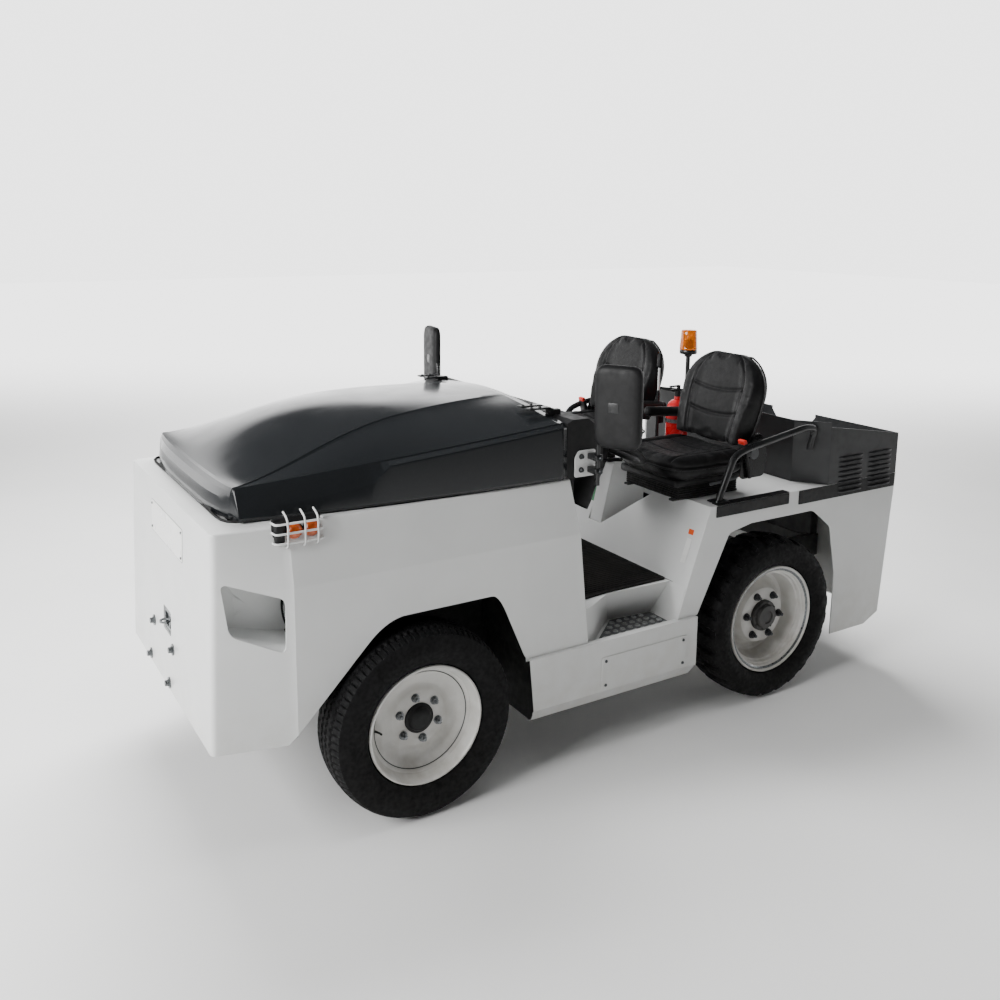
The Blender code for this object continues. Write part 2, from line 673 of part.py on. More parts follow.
def knee_cutter(name, grow):
    """The bay beside the console: a sloped foot that rises to the driver's side."""
    low_y = CONSOLE_LEFT_Y - CONSOLE_WIDTH - grow
    points = [(low_y, DECK_Z + 0.1), (low_y, KNEE_LOW_Z - grow), (CONSOLE_LEFT_Y, KNEE_LOW_Z - grow),
              (KNEE_Y + grow, DECK_Z - 0.03 - grow), (KNEE_Y + grow, DECK_Z + 0.1)]
    return prism(name, points, "YZ", KNEE_REAR_X - grow, SEATBOX_X + 0.2, WHITE)


def build_rear_body():
    body = prism("rear_body", rear_outline(0, None), "XZ", -SIDE_Y, SIDE_Y, WHITE)
    inside = prism("rear_body_inside", rear_outline(SHEET, -0.1), "XZ",
                   -SIDE_Y + SHEET, SIDE_Y - SHEET, WHITE)
    cut(inside, knee_cutter("knee_bay_outside", SHEET))
    footwell = block("footwell_back_cut", (SEATBOX_X - 0.13, -FLOOR_HALF - GAP, 0.1),
                     (SEATBOX_X + 0.1, FLOOR_HALF + GAP, FLOOR_Z), WHITE)
    jaw_window = block("rear_jaw_window", (TAIL_X - 0.1, -REAR_WINDOW_HALF, REAR_JAW_LOW_Z - 0.03),
                       (TAIL_X + 0.1, REAR_WINDOW_HALF, REAR_JAW_HIGH_Z + 0.03), WHITE)
    cut(body, knee_cutter("knee_bay", 0), inside,
        prism("rear_arch", rear_arch(), "XZ", -1, 1, WHITE), footwell, jaw_window)
    return body


def build_console():
    low = KNEE_LOW_Z + GAP
    y0 = CONSOLE_LEFT_Y - CONSOLE_WIDTH + GAP
    outline = [(seat_box_x(low) - 0.004, low), (seat_box_x(DECK_Z) + 0.01, CONSOLE_TOP_Z - 0.03),
               (seat_box_x(DECK_Z) - 0.03, CONSOLE_TOP_Z), (KNEE_REAR_X + 0.03, CONSOLE_TOP_Z),
               (KNEE_REAR_X + GAP, CONSOLE_TOP_Z - 0.03), (KNEE_REAR_X + GAP, low)]
    return prism("centre_console", outline, "XZ", y0, CONSOLE_LEFT_Y, WHITE)


def box_plan(inset):
    """The rear box in plan, with its front corners cut off."""
    half = SIDE_Y - inset
    front = BOX_FRONT_X - inset
    rear = TAIL_X + 0.004 + inset
    corner = BOX_CHAMFER - inset * 0.4
    return [(rear, -half), (front - corner, -half), (front, -half + corner + 0.03),
            (front, half - corner - 0.03), (front - corner, half), (rear, half)]


def build_rear_box():
    """A tray of dark sheet on the rear deck; its wall tops fall to the rear."""
    box = prism("rear_box", box_plan(0), "XY", DECK_Z + GAP, BOX_FRONT_Z, BLACK_STEEL)
    inside = prism("rear_box_inside", box_plan(BOX_SHEET), "XY", DECK_Z - 0.1,
                   BOX_FRONT_Z + 0.1, BLACK_STEEL)
    top = prism("rear_box_top", [(BOX_FRONT_X - BOX_CHAMFER, BOX_FRONT_Z - 0.02),
                                 (TAIL_X - 0.1, BOX_REAR_Z), (TAIL_X - 0.1, BOX_FRONT_Z + 0.2),
                                 (BOX_FRONT_X - BOX_CHAMFER, BOX_FRONT_Z + 0.2)],
                "XZ", -1, 1, BLACK_STEEL)
    notch = prism("rear_box_notch", [(-BOX_NOTCH_HALF, BOX_FRONT_Z), (BOX_NOTCH_HALF, BOX_FRONT_Z),
                                     (BOX_NOTCH_HALF, BOX_REAR_Z), (BOX_NOTCH_HALF - 0.07, BOX_NOTCH_Z),
                                     (-BOX_NOTCH_HALF + 0.07, BOX_NOTCH_Z),
                                     (-BOX_NOTCH_HALF, BOX_REAR_Z)],
                  "YZ", TAIL_X - 0.1, TAIL_X + 0.1, BLACK_STEEL)
    cut(box, inside, top, notch)
    return box


def build_grab_rails():
    """Rails from the deck's front corners back to the box's front corners."""
    for side, sign in on_sides():
        foot_x = seat_box_x(DECK_Z) - 0.055
        y = sign * (SIDE_Y - 0.045)
        end_x = BOX_FRONT_X + RAIL_RADIUS + GAP * 2
        points = [(foot_x, y, DECK_Z + GAP), (foot_x, y, DECK_Z + 0.020),
                  (foot_x - 0.075, y, DECK_Z + 0.165),
                  (foot_x - 0.095, y, DECK_Z + 0.190), (foot_x - 0.125, y, DECK_Z + 0.202),
                  (end_x - 0.02, y - sign * 0.045, DECK_Z + 0.262),
                  (end_x, y - sign * 0.050, DECK_Z + 0.250),
                  (end_x, y - sign * 0.050, DECK_Z + 0.170)]
        tube("grab_rail_" + side, points, RAIL_RADIUS, SATIN_BLACK)


# ---------------------------------------------------------------- seats and fittings
def build_seats():
    for side, sign in on_sides():
        y = sign * SEAT_Y
        half = SEAT_WIDTH / 2
        rear_x = SEAT_FRONT_X - SEAT_DEPTH
        base_low = DECK_Z + GAP
        base_high = base_low + SEAT_BASE_HEIGHT
        block("seat_base_" + side, (rear_x + 0.03, y - half + 0.03, base_low),
              (seat_box_x(DECK_Z) - 0.004, y + half - 0.03, base_high), SATIN_BLACK, 0.012)
        cushion_low = base_high + GAP
        cushion_high = cushion_low + CUSHION_HEIGHT
        block("seat_cushion_" + side, (rear_x, y - half, cushion_low),
              (SEAT_FRONT_X - 0.03, y + half, cushion_high), VINYL, 0.035, 3)
        lean = Vector((-math.sin(BACK_RAKE), math.cos(BACK_RAKE)))
        across = Vector((lean.y, -lean.x))
        foot = Vector((rear_x + BACK_THICKNESS * 0.75, cushion_high + GAP + 0.022))
        corners = [foot, foot + lean * BACK_HEIGHT,
                   foot + lean * (BACK_HEIGHT + 0.0) - across * BACK_THICKNESS * 0.72,
                   foot - across * BACK_THICKNESS]
        outline = rounded([tuple(c) for c in corners], {1: 0.028, 2: 0.028}, 3)
        back = prism("seat_back_" + side, outline, "XZ", y - half + 0.01, y + half - 0.01, VINYL)
        arm_y = y - half + 0.06
        for number, arm_y in enumerate((y - half + 0.06, y + half - 0.06)):
            arm = block("seat_back_arm_%s_%d" % (side, number),
                        (rear_x - 0.012, arm_y - 0.02, cushion_low - 0.03),
                        (rear_x - GAP, arm_y + 0.02, foot.y + 0.06), SATIN_BLACK)
            join(back, arm)


def build_steering():
    """Column out of the dash, and the wheel that turns on its end."""
    tilt = math.radians(32)
    lean = Vector((-math.sin(tilt), 0, math.cos(tilt)))
    hub = Vector((STEERING_X, SEAT_Y, STEERING_Z))
    foot = hub - lean * 0.20
    column = rod("steering_column", foot, hub - lean * (0.018 + PIVOT_GAP), 0.028, BLACK_PLASTIC)
    shelf = block("column_bracket", (foot.x - 0.02, SEAT_Y - 0.05, foot.z - 0.03),
                  (cab_edge_x(DECK_EDGE_Z) - 0.012 - GAP, SEAT_Y + 0.05, foot.z + 0.05), BLACK_PLASTIC)
    join(column, shelf)
    turn = lean.to_track_quat("Z", "Y").to_euler()
    rim = turned("steering_wheel", [(WHEEL_RIM_RADIUS + 0.013, 0.009), (WHEEL_RIM_RADIUS + 0.013, -0.009),
                                    (WHEEL_RIM_RADIUS, -0.014), (WHEEL_RIM_RADIUS - 0.013, -0.009),
                                    (WHEEL_RIM_RADIUS - 0.013, 0.009), (WHEEL_RIM_RADIUS, 0.014)],
                 "Z", hub, BLACK_PLASTIC, 28)
    rim.rotation_euler = turn
    boss = rod("steering_boss", hub - lean * 0.018, hub + lean * 0.012, 0.040, BLACK_PLASTIC)
    join(rim, boss)
    side_way = Vector((0, 1, 0))
    up_way = lean.cross(side_way)
    for number in range(3):
        angle = math.radians(90 + 120 * number)
        direction = side_way * math.cos(angle) + up_way * math.sin(angle)
        spoke = rod("steering_spoke_%d" % number, hub, hub + direction * WHEEL_RIM_RADIUS, 0.009,
                    BLACK_PLASTIC, 8)
        join(rim, spoke)
    carry(pivot("steering_wheel_axis", hub), rim)


def build_mirrors():
    """A bracket beside the dash carries a post with a mirror head, turned to the driver."""
    for side, sign in on_sides():
        low_x = cab_edge_x(DECK_EDGE_Z) - 0.115
        inner = HOOD_HALF_REAR - 0.012 + GAP
        y = sorted((sign * inner, sign * (inner + 0.008)))
        plate = block("mirror_" + side, (low_x, y[0], DECK_EDGE_Z + GAP),
                      (low_x + 0.095, y[1], DECK_EDGE_Z + 0.105), SATIN_BLACK)
        x, post_y = low_x + 0.022, sign * MIRROR_POST_Y
        y = sorted((sign * (inner + 0.004), sign * (MIRROR_POST_Y + 0.012)))
        clamp = block("mirror_clamp_" + side, (x - 0.014, y[0], DECK_EDGE_Z - 0.020),
                      (x + 0.014, y[1], DECK_EDGE_Z + 0.095), SATIN_BLACK)
        head_z = MIRROR_Z + 0.01
        post = tube("mirror_post_" + side, [(x, post_y, DECK_EDGE_Z - 0.03), (x, post_y, head_z - 0.05),
                                            (x - 0.008, post_y + sign * 0.02, head_z - 0.01),
                                            (x - 0.030, post_y + sign * 0.12, head_z)], 0.009, SATIN_BLACK)
        head = block("mirror_head_" + side, (-0.017, -MIRROR_WIDTH / 2, -MIRROR_HEIGHT / 2),
                     (0.017, MIRROR_WIDTH / 2, MIRROR_HEIGHT / 2), SATIN_BLACK, 0.014, 2)
        head.location = (x - 0.040, post_y + sign * 0.11, MIRROR_Z)
        head.rotation_euler = (0, 0, sign * MIRROR_TURN)
        join(plate, clamp, post, head)


def build_beacon():
    x, y = BEACON_X, BEACON_Y
    mast = rod("beacon", (x, y, DECK_Z + GAP), (x, y, BEACON_Z - 0.03), 0.011, SATIN_BLACK, 12)
    foot = rod("beacon_foot", (x, y, DECK_Z + GAP), (x, y, DECK_Z + 0.012), 0.035, SATIN_BLACK)
    base = rod("beacon_base", (x, y, BEACON_Z - 0.035), (x, y, BEACON_Z), 0.042, SATIN_BLACK)
    join(mast, foot, base)
    turned("beacon_lens", [(0, 0.095), (0.034, 0.095), (0.040, 0.088), (0.044, 0.0), (0, 0.0)],
           "Z", (x, y, BEACON_Z + GAP), AMBER, 24)


def build_extinguisher():
    x, y, low = EXTINGUISHER_X, EXTINGUISHER_Y, DECK_Z + GAP
    turned("extinguisher", [(0, 0.40), (0.012, 0.40), (0.022, 0.39), (0.022, 0.365), (0.014, 0.36),
                            (0.014, 0.335), (0.040, 0.315), (0.052, 0.285), (0.052, 0.0), (0, 0)],
           "Z", (x, y, low), RED, 24)


# ---------------------------------------------------------------- chassis and drive
def build_chassis():
    """Two rails joined by cross members, with posts that carry the bodies."""
    front, rear = NOSE_X - NOSE_PLATE - NOSE_LEAN - 0.006, TAIL_X + TAIL_LEAN + SHEET + 0.004
    low, high = RAIL_LOW_Z, RAIL_LOW_Z + RAIL_HEIGHT
    frame = block("chassis_frame", (rear, RAIL_Y - RAIL_THICK / 2, low),
                  (front, RAIL_Y + RAIL_THICK / 2, high), CHASSIS_BLACK)
    other = block("frame_rail_right", (rear, -RAIL_Y - RAIL_THICK / 2, low),
                  (front, -RAIL_Y + RAIL_THICK / 2, high), CHASSIS_BLACK)
    join(frame, other)
    places = (front - 0.03, FRONT_AXLE_X - 0.30, SEATBOX_X - 0.10, REAR_AXLE_X - 0.30, rear + 0.03)
    for number, x in enumerate(places):
        half = RAIL_Y + 0.01
        cross = block("cross_member_%d" % number, (x - 0.03, -half, low + 0.01),
                      (x + 0.03, half, high - 0.01), CHASSIS_BLACK)
        join(frame, cross)
    for number, x in enumerate((CAB_FRONT_X - 0.06, SEATBOX_X + 0.08)):
        step_under = STEP_Z - STEP_SHEET - GAP
        arm = block("outrigger_%d" % number, (x - 0.025, -(SILL_Y - SHEET - GAP), step_under - 0.05),
                    (x + 0.025, SILL_Y - SHEET - GAP, step_under), CHASSIS_BLACK)
        join(frame, arm)
        post = block("floor_post_%d" % number, (x - 0.02, -RAIL_Y - 0.02, high - 0.02),
                     (x + 0.02, RAIL_Y + 0.02, FLOOR_Z - STEP_SHEET - GAP), CHASSIS_BLACK)
        join(frame, post)
    nose_post = block("nose_post", (front - 0.05, -RAIL_Y - 0.01, low), (front, RAIL_Y + 0.01, 0.56),
                      CHASSIS_BLACK)
    tail_post = block("tail_post", (rear, -RAIL_Y - 0.01, low), (rear + 0.05, RAIL_Y + 0.01, 0.70),
                      CHASSIS_BLACK)
    join(frame, nose_post, tail_post)
    return frame


def build_battery():
    """The traction battery in the nose bay."""
    return block("battery_pack", (FRONT_AXLE_X - 0.34, -0.275, RAIL_LOW_Z + RAIL_HEIGHT + GAP),
                 (FRONT_AXLE_X + 0.42, 0.275, 1.02), GREY_STEEL, 0.01)


def build_front_axle():
    """A beam with a yoke at each end."""
    z = FRONT_TYRE_RADIUS
    x = FRONT_AXLE_X
    slot = KNUCKLE_HEIGHT / 2 + PIVOT_GAP
    inner = KINGPIN_Y - KINGPIN_RADIUS - 0.010
    outer = KINGPIN_Y + 0.028
    half = [(0.0, z + AXLE_HALF), (inner - 0.06, z + AXLE_HALF), (inner - 0.02, z + slot + YOKE_EAR),
            (outer, z + slot + YOKE_EAR), (outer, z + slot), (inner, z + slot),
            (inner, z - slot), (outer, z - slot), (outer, z - slot - YOKE_EAR),
            (inner - 0.02, z - slot - YOKE_EAR), (inner - 0.06, z - AXLE_HALF), (0.0, z - AXLE_HALF)]
    mirrored = [(-y, zz) for y, zz in reversed(half[1:-1])]
    outline = half[1:-1] + mirrored
    axle = prism("front_axle", outline, "YZ", x - 0.040, x + 0.040, CHASSIS_BLACK)
    for sign in (1, -1):
        pad = block("spring_pad_%d" % sign, (x - 0.05, sign * RAIL_Y - 0.022, z),
                    (x + 0.05, sign * RAIL_Y + 0.022, RAIL_LOW_Z - GAP), CHASSIS_BLACK)
        join(axle, pad)
    return axle


def build_knuckles():
    for side, sign in on_sides():
        z = FRONT_TYRE_RADIUS
        centre = Vector((FRONT_AXLE_X, sign * KINGPIN_Y, z))
        knuckle = rod("knuckle_" + side, centre - UP * KNUCKLE_HEIGHT / 2,
                      centre + UP * KNUCKLE_HEIGHT / 2, KINGPIN_RADIUS, CHASSIS_BLACK, 24)
        face = FRONT_WHEEL_Y + FRONT_DISC_Y - 0.030 - PIVOT_GAP
        spindle = rod("spindle_" + side, centre, (centre.x, sign * (face - 0.02), z), SPINDLE_RADIUS,
                      CHASSIS_BLACK)
        flange = rod("spindle_flange_" + side, (centre.x, sign * (face - 0.03), z),
                     (centre.x, sign * face, z), HUB_FLANGE_RADIUS, CHASSIS_BLACK)
        arm = block("steering_arm_" + side, (centre.x - 0.15, sign * KINGPIN_Y - 0.018, z - 0.05),
                    (centre.x, sign * KINGPIN_Y + 0.018, z - 0.025), CHASSIS_BLACK)
        join(knuckle, spindle, flange, arm)
        carry(pivot("kingpin_" + side, centre), knuckle)


def tyre_profile(outer, rim, width):
    """From the upper bead over the tread to the lower bead, then back up the rim seat."""
    half = width / 2
    seat = rim - 0.020
    upper = [(rim + 0.006, half * 0.84), (rim + 0.030, half * 0.98), (outer - 0.065, half),
             (outer - 0.022, half * 0.90), (outer - 0.004, half * 0.62), (outer, half * 0.30)]
    lower = [(radius, -height) for radius, height in reversed(upper)]
    return upper + lower + [(seat, -half * 0.74), (seat, half * 0.74)]


def rim_profile(rim, width, disc, hub):
    """Barrel with flanges and a dished disc, closed at the middle by the hub."""
    half = width / 2
    seat = rim - 0.020 - GAP
    well = rim - 0.045
    return [(0, disc + 0.012), (hub, disc + 0.012), (hub + 0.03, disc + 0.008), (well - 0.03, disc + 0.005),
            (well - 0.005, half * 0.50), (seat - 0.014, half * 0.86), (rim, half * 0.90),
            (rim + 0.004, half * 0.86), (seat, half * 0.75), (seat, -half * 0.75),
            (rim + 0.004, -half * 0.86), (rim, -half * 0.90), (seat - 0.014, -half * 0.86),
            (well - 0.005, -half * 0.50), (well - 0.012, disc - 0.02), (hub + 0.03, disc - 0.006),
            (hub + 0.01, disc - 0.030), (0, disc - 0.030)]


def build_wheel(end, side, sign, place, outer, rim, width, disc, hub):
    """A tyre and its rim on one axle, turned about Y with the disc facing out."""
    centre = Vector(place)
    tyre = turned("%s_tyre_%s" % (end, side), tyre_profile(outer, rim, width), "Y", centre, RUBBER)
    wheel = turned("%s_rim_%s" % (end, side), rim_profile(rim, width, disc, hub), "Y", centre,
                   RIM_WHITE)
    if sign < 0:
        wheel.rotation_euler = (math.pi / 2, 0, 0)
        tyre.rotation_euler = (math.pi / 2, 0, 0)
    carry(pivot("%s_wheel_axis_%s" % (end, side), centre), tyre, wheel)


def build_rear_axle():
    """Axle tubes with the drive housing and motor in the middle."""
    x, z = REAR_AXLE_X, REAR_TYRE_RADIUS
    reach = REAR_WHEEL_Y + REAR_DISC_Y - 0.030 - PIVOT_GAP
    axle = rod("rear_axle", (x, -reach, z), (x, reach, z), AXLE_TUBE_RADIUS, CHASSIS_BLACK, 24)
    housing = rod("drive_housing", (x, -0.11, z), (x, 0.11, z), 0.145, CHASSIS_BLACK, 24)
    motor = rod("drive_motor", (x, 0, z + 0.04), (x + 0.40, 0, z + 0.07), 0.115, CHASSIS_BLACK, 24)
    join(axle, housing, motor)
    for sign in (1, -1):
        flange = rod("axle_flange_%d" % sign, (x, sign * (reach - 0.03), z), (x, sign * reach, z),
                     HUB_FLANGE_RADIUS, CHASSIS_BLACK)
        join(axle, flange)
    return axle


def build_hitches():
    """Tow jaws with drop pins: small at the nose, tall at the rear."""
    face = nose_x(JAW_Z)
    jaw = block("front_hitch", (face - NOSE_PLATE + 0.004, -JAW_HALF + GAP, JAW_Z - JAW_HEIGHT / 2 + GAP),
                (face - 0.004, JAW_HALF - GAP, JAW_Z + JAW_HEIGHT / 2 - GAP), GREY_STEEL)
    mouth = block("front_mouth", (face - NOSE_PLATE + 0.010, -JAW_HALF + 0.014, JAW_Z - 0.026),
                  (face + 0.1, JAW_HALF - 0.014, JAW_Z + 0.026), GREY_STEEL)
    pin = rod("front_pin", (face - 0.012, 0, JAW_Z - 0.040), (face - 0.012, 0, JAW_Z + 0.040), 0.007,
              GREY_STEEL, 12)
    ring_radius = (NOSE_X + FRONT_PIN_REACH - RING_WIRE - (face - 0.012)) / 2
    ring_x = face - 0.012 + ring_radius
    outer, inner = ring_radius + RING_WIRE, ring_radius - RING_WIRE
    ring = turned("pin_ring", [(outer, RING_WIRE), (outer, -RING_WIRE), (inner, -RING_WIRE),
                               (inner, RING_WIRE)], "Z", (ring_x, 0, JAW_Z), GREY_STEEL, 20)
    cut(jaw, mouth)
    join(jaw, pin, ring)
    back = TAIL_X + TAIL_LEAN + SHEET + 0.004 - GAP
    rear = block("rear_hitch", (back - 0.014, -REAR_WINDOW_HALF + 0.012, REAR_JAW_LOW_Z - 0.018),
                 (back, REAR_WINDOW_HALF - 0.012, REAR_JAW_HIGH_Z + 0.018), GREY_STEEL)
    jaws = block("rear_jaws", (TAIL_X - REAR_HITCH_REACH, -REAR_JAW_HALF, REAR_JAW_LOW_Z),
                 (back - 0.007, REAR_JAW_HALF, REAR_JAW_HIGH_Z), GREY_STEEL)
    for number in range(2):
        pitch = (REAR_JAW_HIGH_Z - REAR_JAW_LOW_Z - 0.022) / 2
        low = REAR_JAW_LOW_Z + 0.022 + pitch * number
        mouth = block("rear_mouth_%d" % number, (TAIL_X - 0.2, -0.1, low), (back - 0.035, 0.1, low + pitch - 0.022),
                      GREY_STEEL)
        cut(jaws, mouth)
    pin_x = TAIL_X - REAR_HITCH_REACH + 0.038
    pin = rod("rear_pin", (pin_x, 0, REAR_JAW_LOW_Z - 0.020), (pin_x, 0, REAR_JAW_HIGH_Z + 0.050), 0.013,
              GREY_STEEL, 16)
    join(rear, jaws, pin)
    return jaw, rear


def main():
    build_front_body()
    build_headlamps()
    build_turn_lamps()
    build_hood()
    build_cowl()
    build_bulkhead()
    build_wheel_liners()
    build_floor()
    build_mat()
    build_sills()
    build_rear_body()
    build_console()
    build_rear_box()
    build_grab_rails()
    build_seats()
    build_steering()
    build_mirrors()
    build_beacon()
    build_extinguisher()
    build_chassis()
    build_battery()
    build_front_axle()
    build_knuckles()
    build_rear_axle()
    build_hitches()
    for side, sign in on_sides():
        build_wheel("front", side, sign, (FRONT_AXLE_X, sign * FRONT_WHEEL_Y, FRONT_TYRE_RADIUS),
                    FRONT_TYRE_RADIUS, FRONT_RIM_RADIUS, FRONT_TYRE_WIDTH, FRONT_DISC_Y, 0.060)
        build_wheel("rear", side, sign, (REAR_AXLE_X, sign * REAR_WHEEL_Y, REAR_TYRE_RADIUS),
                    REAR_TYRE_RADIUS, REAR_RIM_RADIUS, REAR_TYRE_WIDTH, REAR_DISC_Y, 0.090)


clear_scene()
PARTS = new_collection("airport_baggage_tug")
CUTTERS = new_collection("guides")
WHITE = finish("white powder coat", "#E6E7E6", 0.35)
RIM_WHITE = finish("white wheel enamel", "#D9DAD8", 0.40)
SMOKED = finish("dark grey gloss", "#3B3D3F", 0.15)
BLACK_PLASTIC = finish("black moulded plastic", "#1B1B1C", 0.55)
BLACK_STEEL = finish("black powder-coated steel", "#2A2B2C", 0.45)
SATIN_BLACK = finish("satin black tube", "#202122", 0.40)
CHASSIS_BLACK = finish("chassis black", "#18191A", 0.60)
GREY_STEEL = finish("zinc-plated steel", "#7C8083", 0.45, 0.9)
RUBBER = finish("tyre rubber", "#151515", 0.80)
VINYL = finish("black vinyl", "#1A1A1B", 0.50)
AMBER = finish("amber lens", "#E8820C", 0.20)
RED = finish("red enamel", "#B3161B", 0.30)
main()
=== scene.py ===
"""Finishes and fine detail of the airport baggage tug, built around its CAD frame."""
import math

import bmesh
import bpy
import numpy as np
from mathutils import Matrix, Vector


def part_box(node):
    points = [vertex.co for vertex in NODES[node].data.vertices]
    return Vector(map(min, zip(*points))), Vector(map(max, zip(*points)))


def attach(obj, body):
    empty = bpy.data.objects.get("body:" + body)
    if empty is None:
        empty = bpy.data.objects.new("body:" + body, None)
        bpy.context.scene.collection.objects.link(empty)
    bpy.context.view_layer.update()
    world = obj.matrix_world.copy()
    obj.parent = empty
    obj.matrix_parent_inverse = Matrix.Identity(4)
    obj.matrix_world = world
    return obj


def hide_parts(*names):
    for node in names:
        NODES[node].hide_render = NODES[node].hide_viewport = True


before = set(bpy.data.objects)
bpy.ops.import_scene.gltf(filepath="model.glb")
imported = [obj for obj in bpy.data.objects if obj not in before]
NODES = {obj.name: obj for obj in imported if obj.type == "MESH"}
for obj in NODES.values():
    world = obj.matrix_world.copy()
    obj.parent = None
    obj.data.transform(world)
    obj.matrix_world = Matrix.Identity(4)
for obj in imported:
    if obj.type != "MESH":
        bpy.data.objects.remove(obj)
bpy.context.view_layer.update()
TAU = 2 * math.pi
DIM_ROOM = 0.08
BRIGHT_ROOM = 3.0


# ---------------------------------------------------------------- camera, floor and light
def build_camera():
    """The viewpoint ahead of the left front corner, a little above the mirrors."""
    camera = bpy.data.objects.new("camera", bpy.data.cameras.new("camera"))
    bpy.context.scene.collection.objects.link(camera)
    azimuth, pitch, roll = math.radians(148.46), math.radians(10.43), math.radians(0.52)
    back = Vector((math.sin(azimuth) * math.cos(pitch), -math.cos(azimuth) * math.cos(pitch),
                   math.sin(pitch)))
    camera.rotation_euler = back.to_track_quat("Z", "Y").to_euler()
    camera.rotation_euler.rotate_axis("Z", roll)
    camera.location = (2.3985, 3.55, 2.10)
    camera.data.lens = 35.75
    camera.data.sensor_width = 36.0
    camera.data.shift_y = -0.1
    bpy.context.scene.camera = camera
    return camera


def build_stage():
    """A wide flat pale floor, seen as plain studio paper."""
    across = np.linspace(-30, 30, 2)
    points = np.array([(x, y, 0.0) for x in across for y in across])
    floor = new_object("studio_floor", points, [np.array([[0, 2, 3, 1]])], studio_paper())


def area_light(name, place, target, size, power, colour="#FFFFFF"):
    """A soft box of light at a place, turned to a target."""
    lamp = bpy.data.lights.new(name, "AREA")
    lamp.shape = "RECTANGLE"
    lamp.size, lamp.size_y = size
    lamp.energy = power
    lamp.color = linear(colour)[:3]
    holder = bpy.data.objects.new(name, lamp)
    bpy.context.scene.collection.objects.link(holder)
    holder.location = place
    away = Vector(place) - Vector(target)
    holder.rotation_euler = away.to_track_quat("Z", "Y").to_euler()
    return holder


def build_lights():
    """A key box ahead of the nose, a ceiling box, and a room that is bright behind the tug
    and dim on the near side, so that the side panels read darker than the nose."""
    world = bpy.data.worlds.new("studio")
    bpy.context.scene.world = world
    world.use_nodes = True
    tree = world.node_tree
    sky = tree.nodes["Background"]
    way = add_node(tree, "ShaderNodeTexCoord").outputs["Generated"]
    behind = add_node(tree, "ShaderNodeVectorMath", {0: way, 1: (-0.523, -0.852, 0.0)},
                      operation="DOT_PRODUCT")
    ramp = add_node(tree, "ShaderNodeMapRange",
                    {"Value": behind.outputs["Value"], "From Min": -0.10, "From Max": 0.45,
                                                 "To Min": 0.0, "To Max": BRIGHT_ROOM},
                    interpolation_type="SMOOTHSTEP")
    height = add_node(tree, "ShaderNodeSeparateXYZ", {"Vector": way}).outputs["Z"]
    low = add_node(tree, "ShaderNodeMapRange", {"Value": height, "From Min": 0.28, "From Max": 0.40,
                                                "To Min": 1.0, "To Max": 0.0})
    bright = add_node(tree, "ShaderNodeMath", {0: ramp.outputs["Result"], 1: low.outputs["Result"]},
                      operation="MULTIPLY")
    whole = add_node(tree, "ShaderNodeMath", {0: bright.outputs["Value"], 1: DIM_ROOM}, operation="ADD")
    sky.inputs["Color"].default_value = linear("#FFFFFF")
    tree.links.new(whole.outputs["Value"], sky.inputs["Strength"])
    area_light("key_box", (5.4, 0.6, 3.0), (0.9, 0.0, 0.7), (3.6, 2.6), 420)
    ceiling = area_light("ceiling_box", (-0.9, -3.4, 5.4), (0.0, 0.0, 0.5), (5.5, 3.2), 900)
    ceiling.visible_glossy = False
    strip = area_light("top_strip", (0.3, 1.3, 4.8), (0.3, 0.3, 0.6), (5.0, 0.8), 35)
    strip.visible_glossy = False


# ---------------------------------------------------------------- materials
def linear(hex_colour):
    """An sRGB hex colour as linear red, green and blue, with alpha one."""
    values = [int(hex_colour[i:i + 2], 16) / 255 for i in (1, 3, 5)]
    values = [v / 12.92 if v <= 0.04045 else ((v + 0.055) / 1.055) ** 2.4 for v in values]
    return (*values, 1.0)


def add_node(tree, kind, inputs=None, **settings):
    """Adds a node, sets it up, and links or fills its inputs."""
    made = tree.nodes.new(kind)
    for key, value in settings.items():
        setattr(made, key, value)
    for socket, value in (inputs or {}).items():
        if isinstance(value, bpy.types.NodeSocket):
            tree.links.new(value, made.inputs[socket])
        else:
            made.inputs[socket].default_value = value
    return made


def new_finish(name, colour, roughness, metallic=0.0, **constants):
    """A Principled material; returns it with its tree, shader and Object coordinates."""
    material = bpy.data.materials.new(name)
    material.use_nodes = True
    tree = material.node_tree
    tree.nodes.clear()
    shader = add_node(tree, "ShaderNodeBsdfPrincipled",
                      {"Base Color": linear(colour), "Roughness": roughness, "Metallic": metallic})
    for socket, value in constants.items():
        shader.inputs[socket.replace("_", " ")].default_value = value
    add_node(tree, "ShaderNodeOutputMaterial", {"Surface": shader.outputs["BSDF"]})
    coordinates = add_node(tree, "ShaderNodeTexCoord").outputs["Object"]
    return material, tree, shader, coordinates


def noise(tree, coordinates, size_mm, detail=2.0, rough=0.5):
    """Noise whose features are about size_mm across."""
    made = add_node(tree, "ShaderNodeTexNoise",
                    {"Vector": coordinates, "Scale": 1000 / size_mm, "Detail": detail, "Roughness": rough})
    return made.outputs["Fac"]


def spread(tree, value, low, high, start=0.35, stop=0.65):
    """Maps a pattern's middle range onto low to high."""
    made = add_node(tree, "ShaderNodeMapRange", {"Value": value, "From Min": start, "From Max": stop,
                                                 "To Min": low, "To Max": high})
    return made.outputs["Result"]


def blend_colours(tree, amount, first, second):
    """Mixes two colours, each a hex code or a colour socket, by a pattern."""
    made = add_node(tree, "ShaderNodeMix", data_type="RGBA")
    tree.links.new(amount, made.inputs["Factor"])
    for socket, value in ((6, first), (7, second)):
        if isinstance(value, str):
            made.inputs[socket].default_value = linear(value)
        else:
            tree.links.new(value, made.inputs[socket])
    return made.outputs[2]


